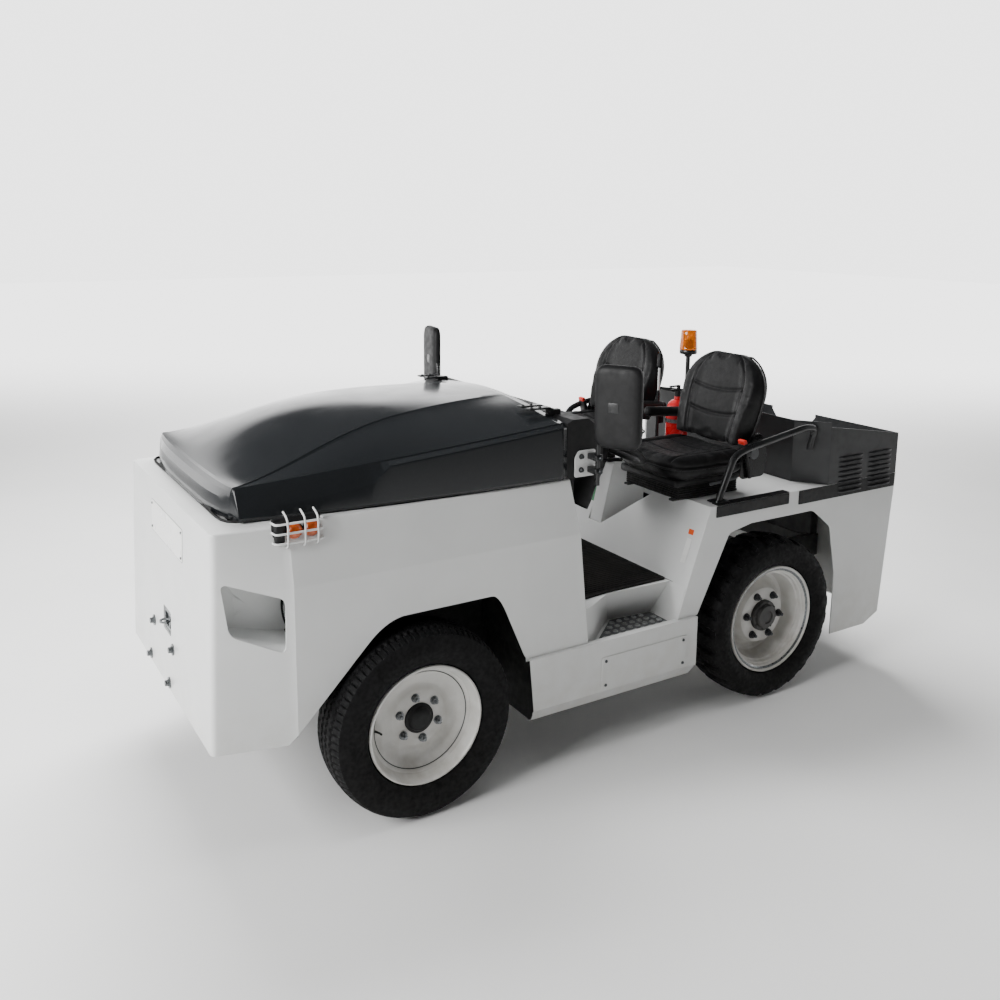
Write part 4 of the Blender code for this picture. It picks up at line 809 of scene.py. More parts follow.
# ---------------------------------------------------------------- hood
def hood_points():
    """Rows run along the hood; each row crosses it from edge to edge through the middle panel,
    the spear crease, the outer band, the shoulder, a bevel face and the side wall."""
    u = np.concatenate([np.linspace(0, 0.90, 46), np.linspace(0.915, 1.0, 10)])
    x = HOOD_BACK + (HOOD_FRONT - 0.050 - HOOD_BACK) * u
    dip = np.clip((u - 0.45) / 0.55, 0, None)
    crown = 1.410 - 0.185 * dip ** 2.6 - 0.012 * (1 - u) ** 4
    half = HOOD_HALF + (HOOD_HALF_FRONT - HOOD_HALF) * u ** 2
    shoulder_z = 1.345 - 0.110 * u
    shoulder_y = half - 0.050 + 0.016 * (1 - u)
    lower_z = np.interp(u, [0, 0.58, 0.64, 1.0], [1.325, 1.262, 1.205, 1.152])
    lower_y = half - 0.006
    crease_y = np.interp(u, [0, 0.10, 1.0], [0.16, 0.19, 0.475])
    crease_z = crown - 0.006 + (shoulder_z + 0.004 - crown + 0.006) * np.clip(u, 0, 1) ** 2.2
    base = np.full_like(u, BODY_TOP + 0.005)
    columns = []
    for share in np.linspace(0, 1, 9)[:-1]:
        columns.append((crease_y * share, crown + (crease_z - crown) * share ** 2))
    valley = 0.010 * np.sin(math.pi * u) ** 0.5
    for share in (0.0, 0.02, 0.08, 0.2, 0.4, 0.6, 0.8, 0.93):
        y = crease_y + (shoulder_y - crease_y) * share
        z = crease_z + (shoulder_z - crease_z) * share ** 1.3
        columns.append((y, z - valley * (1 - math.exp(-share * 22)) * (1 - share)))
    for y, z in ((shoulder_y, shoulder_z), (shoulder_y + 0.004, shoulder_z - 0.005),
                 (lower_y - 0.002, lower_z + 0.006), (lower_y, lower_z), (half, base + 0.012),
                 (half - 0.001, base)):
        columns.append((y, z))
    table = np.array([np.stack([x, y, z], 1) for y, z in columns])
    front = table[:, -1].copy()
    table = np.concatenate([table[:0:-1] * (1, -1, 1), table])
    nose = table[:, -1].copy()
    rows = [table]
    for t in (0.15, 0.35, 0.6, 0.85, 1.0):
        row = nose.copy()
        round_corner = 0.055 * (np.abs(nose[:, 1]) / front[:, 1].max()) ** 5
        row[:, 0] = nose[:, 0] + (0.050 - round_corner) * math.sin(t * math.pi / 2)
        row[:, 2] = base[0] + (nose[:, 2] - base[0]) * math.cos(t * math.pi / 2) ** 0.9
        row[:, 1] = nose[:, 1] * (1 - 0.012 * t)
        rows.append(row[:, None])
    grid = np.concatenate(rows, 1)
    return grid.reshape(-1, 3), [grid_faces(grid.shape[0], grid.shape[1])]


def build_hood(finishes):
    hood = clean(new_object("hood_skin", *hood_points(), finishes["smoked"]), 14)
    shell = hood.modifiers.new("moulding", "SOLIDIFY")
    shell.thickness = 0.006
    shell.offset = -1
    enrol(hood, "hood_lid", ("hood",))
    edge_x = np.concatenate([np.linspace(HOOD_BACK + 0.01, HOOD_FRONT - 0.11, 30),
                             [HOOD_FRONT - 0.075, HOOD_FRONT - 0.045, HOOD_FRONT - 0.022,
                             HOOD_FRONT - 0.010, HOOD_FRONT - 0.006]])
    share = (edge_x[:30] - HOOD_BACK) / (HOOD_FRONT - 0.05 - HOOD_BACK)
    edge_y = np.concatenate([HOOD_HALF + (HOOD_HALF_FRONT - HOOD_HALF) * share ** 2 - 0.012,
                             [0.519, 0.509, 0.49, 0.462, 0.42]])
    line = np.column_stack([edge_x, edge_y, np.full(len(edge_x), BODY_TOP + 0.0035)])
    line = np.concatenate([line, line[::-1] * (1, -1, 1)])
    seal = tube(line, 0.0048, 10)
    piece("hood_seal", seal, finishes["rubber"])
    latch = both_sides(rounded_box((HOOD_FRONT - 0.020, 0.30, BODY_TOP + 0.004),
                                   (HOOD_FRONT - 0.004, 0.36, BODY_TOP + 0.016), 0.004))
    piece("hood_bump_stops", latch, finishes["rubber"])
    hinge_z = 1.371
    strap_shapes, bolt_places = [], []
    for y in (0.395, 0.455):
        strap_shapes.append(rounded_box((HOOD_BACK - 0.012, y - 0.018, hinge_z + 0.010),
                                        (HOOD_BACK + 0.085, y + 0.018, hinge_z + 0.0165), 0.003))
        bolt_places += [(HOOD_BACK + 0.030, y, hinge_z + 0.0165), (HOOD_BACK + 0.068, y, hinge_z + 0.0165)]
    straps = both_sides(combined(*strap_shapes, bolts(bolt_places, (0, 0, 1), dome_bolt(0.013))))
    piece("hood_hinge_straps", straps, finishes["satin"], body="hood_lid")


# ---------------------------------------------------------------- cab, sills and rear body
FLOOR = 0.600
STEP = 0.452
FLOOR_EDGE = [(-0.2993, 0.535), (0.023, 0.523), (0.144, 0.590), (0.2305, 0.6347)]
STEP_EDGE = [(-0.2515, 0.473), (-0.035, 0.454), (0.139, 0.598), (0.2000, 0.6300)]


def build_floor(finishes):
    """Floor plate whose edge drops over a leaning riser to a recessed step, on both sides;
    a finely ribbed mat on the floor and a dimpled tread in each step."""
    rows = [[(x, 0.0, FLOOR) for x, _ in FLOOR_EDGE], [(x, y, FLOOR) for x, y in FLOOR_EDGE],
            [(x, y, STEP) for x, y in STEP_EDGE], [(x, 0.6347, STEP) for x, _ in STEP_EDGE]]
    grid = np.array(rows)
    whole = np.concatenate([grid[::-1], grid[1:] * (1, -1, 1)])
    pan = clean(new_object("floor_skin", whole.reshape(-1, 3), [grid_faces(len(whole), 4)],
                           finishes["white"]), 25)
    sheet = pan.modifiers.new("sheet", "SOLIDIFY")
    sheet.thickness = 0.004
    sheet.offset = -1
    round_edges(pan, 0.0020, 2, 20)
    enrol(pan, "chassis", ("floor_pan",))
    half = 0.515
    outline = rounded_outline([(-0.2950, -half), (0.010, -half), (0.1905, -half - 0.020),
                               (0.1905, half + 0.020), (0.010, half),
                               (-0.2950, half)], 0.012)
    ribs = [rounded_box((-0.285, y, FLOOR + 0.0060), (0.180, y + 0.0085, FLOOR + 0.0105), 0.002, 1)
            for y in np.arange(-half + 0.012, half - 0.015, 0.0180)]
    piece("ribbed_floor_mat", combined(extruded(outline, "XY", FLOOR + 0.0004, FLOOR + 0.0075), *ribs),
          finishes["mat"],
          replaces=("floor_mat",))
    tread = rounded_outline([(-0.240, 0.486), (-0.039, 0.469), (0.112, 0.594), (0.112, 0.624),
                             (-0.240, 0.624)], 0.006)
    dimple = revolved([(0.0125, 0), (0.0112, 0.0024), (0.0080, 0.0046), (0.0050, 0.0038), (0, 0.0034)], 14)
    places = []
    for i in range(9):
        for j in range(4):
            x, y = -0.218 + 0.0385 * i, 0.607 - 0.0365 * j
            if y > np.interp(x, [-0.24, -0.039, 0.112], [0.486, 0.469, 0.594]) + 0.016:
                places.append((x, y, STEP + 0.0044))
    plates = both_sides(extruded(tread, "XY", STEP + 0.0006, STEP + 0.0046))
    piece("step_treads", plates, finishes["tread"], edge=0.0008)
    piece("step_dimples", both_sides(bolts(places, (0, 0, 1), dimple)), finishes["dimple"])
    ends = np.array([(-0.2985, 0.520, FLOOR - 0.001), (-0.2495, 0.460, STEP), (-0.2495, 0.6340, STEP),
                     (-0.2985, 0.6340, FLOOR - 0.001)])
    ends = np.concatenate([ends, ends - (0.003, 0, 0)])
    faces = [grid_faces(2, 4, False, True), np.array([[3, 2, 1, 0], [4, 5, 6, 7]])]
    piece("step_end_plates", both_sides((ends, faces)), finishes["white"])


def build_sills(white):
    """Folded sill: top flange, outer face, and a lower face that turns in, along the cab's foot."""
    section = np.array([(0.626, 0.4545), (0.626, 0.4700), (0.655, 0.4700), (0.655, 0.262), (0.6130, 0.205),
                        (0.594, 0.205)])
    start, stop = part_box("side_sill_left")[0].x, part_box("side_sill_left")[1].x
    shift = (SILL_TOP - section[:, 1]) * 0.10
    rows = [np.column_stack([np.full(len(section), start), section]),
            np.column_stack([stop - shift, section])]
    for name, shape in (("left", 1), ("right", -1)):
        grid = np.array(rows) * (1, shape, 1)
        faces = [grid_faces(2, len(section))[:, ::shape]]
        sill = clean(new_object("sill_skin_" + name, grid.reshape(-1, 3), faces, white), 20, outward=False)
        sheet = sill.modifiers.new("sheet", "SOLIDIFY")
        sheet.thickness = 0.004
        sheet.offset = 0
        round_edges(sill, 0.0018, 2, 25)
        enrol(sill, "chassis", ("side_sill_" + name,))


def build_cab(finishes):
    white = finishes["white"]
    softened("rear_body", 0.0024, white)
    build_sills(white)
    build_floor(finishes)
    softened("dashboard", 0.006, finishes["plastic"])
    softened("bulkhead", 0.0012, finishes["plastic"])
    softened("centre_console", 0.004, white)
    face = SIDE_Y + 0.0172
    cover = rounded_outline([(-0.297, 0.268), (0.144, 0.268), (0.144, 0.405), (-0.297, 0.405)], 0.010)
    covers = extruded(cover, "XZ", face + 0.0002, face + 0.0028)
    piece("sill_covers", both_sides(covers), white, edge=0.0012)
    cover_bolts = bolts([(x, face + 0.0028, z) for x in (-0.276, 0.124) for z in (0.287, 0.387)], (0, 1, 0),
                        dome_bolt(0.013))
    piece("sill_cover_bolts", both_sides(cover_bolts), finishes["dark_bolt"])
    strips = []
    for start, stop, low_z, high_z in ((-0.445, -0.872, 0.880, 0.9285), (-0.934, -1.580, 0.866, 0.9285)):
        outline = rounded_outline([(start, low_z), (start, high_z), (stop, high_z), (stop, low_z)], 0.004)
        strips.append(extruded(outline, "XZ", SIDE_Y + 0.0002, SIDE_Y + 0.0036))
    piece("deck_edge_strips", both_sides(combined(*strips)), finishes["plastic"], edge=0.0012)
    caps = combined(rounded_box((-0.872, 0.603, DECK + 0.0003), (-0.452, SIDE_Y + 0.0036, DECK + 0.0040),
                                0.0015, 1))
    piece("deck_edge_caps", both_sides(caps), finishes["plastic"])


def build_rear_box(finishes):
    """The black box behind the seats, its louvred side panels, top rim and rear fittings."""
    softened("rear_box", 0.0015, finishes["black_steel"])
    low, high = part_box("rear_box")
    slats = []
    for row in range(8):
        for start, stop in ((-1.185, -1.345), (-1.385, -1.545)):
            z = 0.893 + 0.0225 * row
            proud = 0.0032 if z < DECK else 0.0
            line = np.array([(0.0, 0.0), (0.010, -0.0015), (0.0125, -0.007), (0.0105, -0.0085),
                             (0.0085, -0.0035), (0.0, -0.0025)])
            x = np.linspace(start, stop, 12)
            bulge = np.clip(1 - np.abs(np.linspace(-1, 1, 12)) ** 8, 0.05, None)
            points = np.stack([np.broadcast_to(x[:, None], (12, 6)),
                               SIDE_Y + proud + line[None, :, 0] * bulge[:, None] - 0.0005,
                               z + line[None, :, 1] * np.ones((12, 1))], -1)
            slats.append((points.reshape(-1, 3),
                          [grid_faces(12, 6, False, True), np.arange(6)[None],
                           np.arange(66, 72)[None, ::-1]]))
    piece("box_louvres", both_sides(combined(*slats)), finishes["black_steel"])
    tail_x = TAIL_X + 0.006
    lamp = []
    for y in (0.50,):
        lamp.append(rounded_box((tail_x - 0.026, y - 0.055, 0.742), (tail_x + 0.012, y + 0.055, 0.862),
                                0.010))
    housings = both_sides(combined(*lamp))
    piece("tail_lamp_housings", housings, finishes["plastic"])
    for name, z_low, z_high, finish in (("tail_lamp_red", 0.806, 0.856, "red_lens"),
                                        ("tail_lamp_amber", 0.775, 0.803, "amber"),
                                        ("tail_lamp_clear", 0.748, 0.772, "clear")):
        lens = rounded_box((tail_x - 0.031, 0.451, z_low), (tail_x - 0.020, 0.549, z_high), 0.004)
        piece(name, both_sides(lens), finishes[finish])
    plate = rounded_box((tail_x - 0.004, -0.26, 0.70), (tail_x + 0.010, 0.26, 0.82), 0.003)
    piece("blank_number_plate", plate, finishes["plate"])
    softened("rear_hitch", 0.0025, finishes["zinc"])


def build_rails(finishes):
    """Grab rails beside the seats, from a foot plate over a bend to the rear box."""
    path = smooth_path([(-0.492, 0.600, DECK + 0.004), (-0.500, 0.600, 0.955), (-0.572, 0.600, 1.118),
                        (-0.640, 0.601, 1.142),
                        (-0.995, 0.603, 1.200), (-1.050, 0.603, 1.192), (-1.062, 0.590, 1.160),
                        (-1.050, 0.583, 1.090)], 0.05)
    rail = tube(path, 0.0145, 20)
    foot = rounded_box((-0.530, 0.570, DECK + 0.0040), (-0.454, 0.630, DECK + 0.0100), 0.003)
    piece("grab_rails", both_sides(combined(rail, foot)), finishes["satin"],
          replaces=("grab_rail_left", "grab_rail_right"))
    places = [(x, 0.600 + y, DECK + 0.010) for x in (-0.520, -0.464) for y in (-0.020, 0.020)]
    piece("rail_foot_bolts", both_sides(bolts(places, (0, 0, 1), dome_bolt(0.010))), finishes["zinc"])


# ---------------------------------------------------------------- wheels
def tyre_shape(node_low, node_high, bead, tread_half, blocks, groove, chunky):
    """A tyre's outline carried round its axle: bead, bulging wall, shoulder and crown, with the
    crown's grid pressed in where the tread pattern says."""
    outer = (node_high.z - node_low.z) / 2
    half = (node_high.y - node_low.y) / 2
    wall = outer - bead
    side = [(bead + 0.004, -half * 0.66), (bead + wall * 0.10, -half * 0.84),
            (bead + wall * 0.16, -half * 0.87),
            (bead + wall * 0.20, -half * 0.90), (bead + wall * 0.34, -half * 0.975),
            (bead + wall * 0.50, -half * 0.998),
            (bead + wall * 0.66, -half * 0.985), (bead + wall * 0.70, -half * 0.965),
            (bead + wall * 0.80, -half * 0.945),
            (bead + wall * 0.88, -half * 0.91)]
    crown_y = np.linspace(-tread_half, tread_half, 31)
    crown = [(outer - 0.010 * abs(y / tread_half) ** 2.6, y) for y in crown_y]
    inner = [(r, -y) for r, y in side[::-1]]
    closing = [(bead - 0.004, half * 0.60), (bead - 0.004, -half * 0.60)]
    profile = np.array(side + crown + inner + closing)
    steps = blocks * 12
    turn = np.arange(steps) / steps * TAU
    radius = np.repeat(profile[:, None, 0], steps, 1)
    height = np.repeat(profile[:, None, 1], steps, 1)
    phase = (np.arange(steps) % 12)[None]
    start, stop = len(side), len(side) + len(crown)
    across = crown_y[:, None] / tread_half
    if chunky:
        shift = np.where(across > 0, 6, 0)
        lug = ((phase + shift + np.round(np.abs(across) * 3)) % 12) < 7
        land = (lug & (np.abs(across) > 0.10)) | (np.abs(across) < 0.22) & lug
    else:
        rib = np.abs(np.abs(across) * 3.2 + 0.18 * np.sin(phase / 12 * TAU * 2) - np.array([[0.62]])) > 0.16
        rib &= np.abs(np.abs(across) * 3.2 + 0.18 * np.sin(phase / 12 * TAU * 2) - 2.0) > 0.16
        sipe = (np.abs(across) > 0.78) & (phase % 6 == 0)
        land = rib & ~sipe
    radius[start:stop] -= np.where(land, 0.0, groove)
    if chunky:
        for row in range(start - 3, start):
            radius[row] -= np.where((phase[0] % 12) < 7, 0, groove * 0.35)
        for row in range(stop, stop + 3):
            radius[row] -= np.where(((phase[0] + 6) % 12) < 7, 0, groove * 0.35)
    points = np.stack([radius * np.cos(turn), radius * np.sin(turn), height], -1)
    return points.reshape(-1, 3), [grid_faces(len(profile), steps, True, True)]


def on_axle(shape, side, centre):
    """A wheel part made round Z, with its outer face up, turned onto an axle."""
    points, faces = shape
    points = np.asarray(points)
    turned = np.stack([points[:, 0], points[:, 2] * side, points[:, 1]], 1) + np.asarray(centre)
    if side > 0:
        faces = [np.asarray(group)[:, ::-1] for group in faces]
    return turned, faces


def nut_ring(count, radius, height, nut, start=0.0):
    """Wheel nuts set evenly round a circle."""
    return combined(*[moved(nut, (radius * math.cos(a), radius * math.sin(a), height))
                      for a in start + np.arange(count) * TAU / count])


def valve(radius, height, lean=0.010):
    """Valve stem with a cap, leaning outward from the rim's dish."""
    path = [(radius, 0, height), (radius - lean, 0, height + 0.022), (radius - lean * 1.2, 0, height + 0.034)]
    return tube(path, [0.0042, 0.0036, 0.0040], 10)


def build_wheels(finishes):
    """Front and rear wheels: tyres, rims, nuts, hub caps and valves."""
    for name, side in (("left", 1), ("right", -1)):
        low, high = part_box("front_tyre_" + name)
        centre = ((low.x + high.x) / 2, (low.y + high.y) / 2, (low.z + high.z) / 2)
        body = "front_wheel_" + name
        tyre = tyre_shape(low, high, 0.2125, 0.082, 42, 0.007, False)
        piece("front_tread_tyre_" + name, on_axle(tyre, side, centre), finishes["tyre"], body,
              30,
              replaces=("front_tyre_" + name,))
        face = 0.020
        rim = revolved([(0.060, -0.085), (0.190, -0.085), (0.2165, -0.0915), (0.2195, -0.080),
                        (0.212, -0.074), (0.200, -0.060),
                        (0.196, -0.010), (0.194, 0.030), (0.199, 0.052), (0.2075, 0.068), (0.2125, 0.074),
                        (0.2195, 0.080),
                        (0.2180, 0.0885), (0.2125, 0.0905), (0.2085, 0.0860), (0.2055, 0.0750),
                        (0.2000, 0.0600),
                        (0.1945, 0.0465), (0.1890, 0.0445), (0.1835, 0.0400), (0.1650, 0.0200),
                        (0.1500, 0.0110),
                        (0.1330, 0.0065), (0.1200, 0.0080), (0.1090, 0.0150), (0.0990, 0.0200),
                        (0.0560, 0.0200),
                        (0.0470, 0.0200), (0.0440, 0.0150), (0.0440, -0.06), (0.060, -0.085)], 96)
        piece("front_disc_wheel_" + name, on_axle(rim, side, centre), finishes["rim"], body,
              32,
              replaces=("front_rim_" + name,))
        seam = moved(closed_ring([(0.1800, 0.0372), (0.1822, 0.0392), (0.1815, 0.0400), (0.1790, 0.0380)],
                                 72), (0, 0, 0.0006))
        piece("front_rim_seam_" + name, on_axle(seam, side, centre), finishes["dark_bolt"], body)
        nut = combined(hex_bolt(0.022), moved(revolved([(0, 0), (0.0062, 0), (0.0062, 0.010), (0, 0.012)],
                                                       14), (0, 0, 0.014)))
        nuts = nut_ring(6, 0.0800, face, nut, 0.35)
        piece("front_wheel_nuts_" + name, on_axle(nuts, side, centre), finishes["zinc"], body)
        cap = revolved([(0.0560, face - 0.002), (0.0550, face + 0.006), (0.0450, face + 0.0105),
                        (0.0405, face + 0.021),
                        (0.0340, face + 0.026), (0.0150, face + 0.028), (0, face + 0.0285)], 48)
        piece("front_hub_cap_" + name, on_axle(cap, side, centre), finishes["plastic"], body)
        piece("front_valve_" + name, on_axle(valve(0.1755, 0.028), side, centre), finishes["rubber"], body)

        low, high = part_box("rear_tyre_" + name)
        centre = ((low.x + high.x) / 2, (low.y + high.y) / 2, (low.z + high.z) / 2)
        body = "rear_wheel_" + name
        tyre = tyre_shape(low, high, 0.237, 0.090, 26, 0.013, True)
        piece("rear_lug_tyre_" + name, on_axle(tyre, side, centre), finishes["tyre"], body, 30,
              replaces=("rear_tyre_" + name,))
        rim = revolved([(0.085, -0.082), (0.214, -0.082), (0.2405, -0.0915), (0.2425, -0.080),
                        (0.2340, -0.072), (0.2220, -0.058),
                        (0.2180, -0.010), (0.2170, 0.030), (0.2240, 0.055), (0.2340, 0.070), (0.2425, 0.080),
                        (0.2415, 0.0890),
                        (0.2370, 0.0915), (0.2325, 0.0880), (0.2300, 0.0790), (0.2265, 0.0760),
                        (0.2240, 0.0790), (0.2205, 0.0800),
                        (0.2165, 0.0765), (0.2140, 0.0660), (0.2075, 0.0630), (0.2060, 0.0480),
                        (0.1990, 0.0450),
                        (0.1960, 0.0330), (0.1900, -0.0050), (0.1840, -0.0280), (0.1700, -0.0330),
                        (0.1550, -0.0270),
                        (0.1400, -0.0100), (0.1330, 0.0080), (0.1240, 0.0260), (0.1160, 0.0300),
                        (0.0860, 0.0300),
                        (0.0700, 0.0300), (0.0680, 0.0240), (0.0680, -0.060), (0.085, -0.082)], 96)
        piece("rear_disc_wheel_" + name, on_axle(rim, side, centre), finishes["rim"], body,
              32,
              replaces=("rear_rim_" + name,))
        lock = closed_ring([(0.2205, 0.0800), (0.2255, 0.0845), (0.2300, 0.0845), (0.2310, 0.0800)], 96)
        piece("rear_lock_ring_" + name, on_axle(lock, side, centre), finishes["zinc"], body)
        hub = revolved([(0.0700, 0.024), (0.0695, 0.0440), (0.0660, 0.0480), (0.0560, 0.0490),
                        (0.0540, 0.0600),
                        (0.0500, 0.0640), (0.0300, 0.0655), (0.0285, 0.0600), (0, 0.0600)], 48)
        studs = nut_ring(8, 0.0615, 0.0485, moved(hex_bolt(0.0085, False), (0, 0, 0)), 0.2)
        piece("rear_hub_" + name, on_axle(combined(hub, studs), side, centre), finishes["hub"], body)
        nut = combined(hex_bolt(0.024), moved(revolved([(0, 0), (0.0070, 0), (0.0070, 0.012), (0, 0.014)],
                                                       14), (0, 0, 0.016)))
        piece("rear_wheel_nuts_" + name, on_axle(nut_ring(6, 0.1000, 0.0300, nut, 0.1), side, centre),
              finishes["dark_bolt"], body)
        piece("rear_valve_" + name, on_axle(valve(0.188, 0.006, 0.004), side, centre), finishes["rubber"],
              body)


# ---------------------------------------------------------------- seats
def pad_surface(width, depth, height, roll, waist=0.0, rows=40, columns=64):
    """A cushion as a box of rounded plan and rounded edges: each level's outline is a super-ellipse
    whose reach shrinks towards top and bottom as a quarter circle of the edge roll does."""
    levels = np.linspace(-1, 1, rows)
    turn = np.arange(columns) * TAU / columns
    shrink = np.clip((np.abs(levels) - (1 - 2 * roll / height)) / (2 * roll / height), 0, 1)
    reach = 1 - np.sqrt(1 - np.clip(shrink, 0, 0.9999) ** 2)
    power = 2 / 4.5
    cx = np.sign(np.cos(turn)) * np.abs(np.cos(turn)) ** power
    cy = np.sign(np.sin(turn)) * np.abs(np.sin(turn)) ** power
    x = (depth / 2 - roll * reach[:, None]) * cx
    y = (width / 2 - roll * reach[:, None]) * cy * (1 - waist * cx)
    z = np.broadcast_to((levels * height / 2)[:, None], x.shape)
    points = np.stack([x, y, z], -1)
    caps = [np.arange(columns)[None, ::-1], np.arange((rows - 1) * columns, rows * columns)[None]]
    return points.reshape(-1, 3), [grid_faces(rows, columns, False, True), *caps]


def inflated(made, pressure, cap, voxel=0.0055):
    """Blows the pad up as stitched fabric over foam would swell: pressure from inside, no gravity,
    each point moved no further than a cap from where it began."""
    bpy.context.view_layer.objects.active = made
    made.select_set(True)
    remesh = made.modifiers.new("even mesh", "REMESH")
    remesh.mode = "VOXEL"
    remesh.voxel_size = voxel
    apply_modifiers(made)
    count = len(made.data.vertices)
    before = np.empty(count * 3)
    made.data.vertices.foreach_get("co", before)
    cloth = made.modifiers.new("swell", "CLOTH")
    cloth.settings.quality = 5
    cloth.settings.mass = 0.3
    cloth.settings.tension_stiffness = 15
    cloth.settings.compression_stiffness = 15
    cloth.settings.shear_stiffness = 6
    cloth.settings.bending_stiffness = 2.5
    cloth.settings.use_pressure = True
    cloth.settings.uniform_pressure_force = pressure
    cloth.settings.effector_weights.gravity = 0
    cloth.collision_settings.use_collision = False
    for number in range(1, 21):
        bpy.context.scene.frame_set(number)
    graph = bpy.context.evaluated_depsgraph_get()
    result = made.evaluated_get(graph).to_mesh()
    after = np.empty(count * 3)
    result.vertices.foreach_get("co", after)
    made.evaluated_get(graph).to_mesh_clear()
    made.modifiers.clear()
    bpy.context.scene.frame_set(1)
    step = (after - before).reshape(-1, 3)
    length = np.linalg.norm(step, axis=1)[:, None]
    step *= np.minimum(1, cap / np.maximum(length, 1e-9))
    made.data.vertices.foreach_set("co", (before + step.ravel()))
    made.data.update()
    return made


def reshape(made, change):
    """Moves every point of a mesh by a function of its place."""
    count = len(made.data.vertices)
    points = np.empty(count * 3)
    made.data.vertices.foreach_get("co", points)
    made.data.vertices.foreach_set("co", np.asarray(change(points.reshape(-1, 3))).ravel())
    made.data.update()


def channel(distance, width, depth):
    """A seam's groove: deep at its line, gone at its width."""
    return depth * np.exp(-(distance / width) ** 2)


def shape_cushion(points):
    """Side bolsters raised, a dished middle, two cross seams and the bolster seams pressed in."""
    x, y, z = points.T.copy()
    top = np.clip(z / 0.045, 0, 1)
    dish = -0.016 * np.exp(-(y / 0.13) ** 2) * np.exp(-((x + 0.02) / 0.2) ** 2)
    bolster = 0.004 * np.exp(-((np.abs(y) - 0.185) / 0.035) ** 2)
    z = z + top * (dish + bolster)
    for seam in (-0.055, 0.075):
        z -= top * channel(x - seam, 0.006, 0.007) * (np.abs(y) < 0.150)
    z -= top * channel(np.abs(y) - 0.150, 0.006, 0.009)
    ring = channel(z - 0.010, 0.005, 0.004)
    radius = np.hypot(x, y)
    x, y = x - x / radius * ring, y - y / radius * ring
    return np.stack([x, y, z], 1)


def back_width(height):
    """Half width of the seat back by height: waist at the foot, wide shoulders, round top."""
    share = np.clip(height / BACK_HIGH, 0, 1)
    body = 0.200 + 0.037 * np.sin(np.clip(share / 0.75, 0, 1) * math.pi / 2)
    return body * np.sqrt(np.clip(1 - np.clip((share - 0.50) / 0.52, 0, 1) ** 2.6, 0.0, 1))


BACK_HIGH = 0.400


def back_surface(rows=60, columns=56):
    """Egg-shaped pad: at each height an oval whose half width follows the back's outline and
    whose thickness thins towards the top."""
    levels = np.linspace(0, 1, rows) ** 0.9 * BACK_HIGH * 0.995
    turn = np.arange(columns) * TAU / columns
    power = 2 / 3.2
    cx = np.sign(np.cos(turn)) * np.abs(np.cos(turn)) ** power
    cy = np.sign(np.sin(turn)) * np.abs(np.sin(turn)) ** power
    half = back_width(levels)
    thick = 0.052 * np.clip(1.05 - 0.35 * (levels / BACK_HIGH) ** 2, 0, 1) * np.clip(half / 0.10, 0.12,
    1) ** 0.5
    x = thick[:, None] * cx
    y = half[:, None] * cy
    z = np.broadcast_to(levels[:, None], x.shape)
    points = np.stack([x, y, z], -1)
    caps = [np.arange(columns)[None, ::-1], np.arange((rows - 1) * columns, rows * columns)[None]]
    return points.reshape(-1, 3), [grid_faces(rows, columns, False, True), *caps]


def shape_back(points):
    """Bolsters forward at both sides, a seam inside them, and two cross channels."""
    x, y, z = points.T.copy()
    front = np.clip(x / 0.030, 0, 1)
    half = back_width(np.clip(z, 0, BACK_HIGH * 0.97))
    edge = np.abs(y) / np.maximum(half, 0.03)
    x += front * (0.042 * np.clip((edge - 0.50) / 0.38, 0, 1) ** 1.3 * np.clip(1.2 - z / BACK_HIGH, 0.3,
    1) - 0.006)
    x -= front * channel((edge - 0.66) * half, 0.005, 0.009)
    for seam in (0.115, 0.225):
        x -= front * channel(z - seam - 0.03 * (y / 0.2) ** 2, 0.006, 0.006) * (edge < 0.66)
    return np.stack([x, y, z], 1)


def seat_place(points, side):
    """From a seat back's own upright frame to its raked place in the cab."""
    rake = math.radians(12)
    x, y, z = points.T
    return np.stack([-0.7120 + x * math.cos(rake) - z * math.sin(rake) + 0.004,
                     y + side * SEAT_Y, 1.128 + z * math.cos(rake) + x * math.sin(rake)], 1)


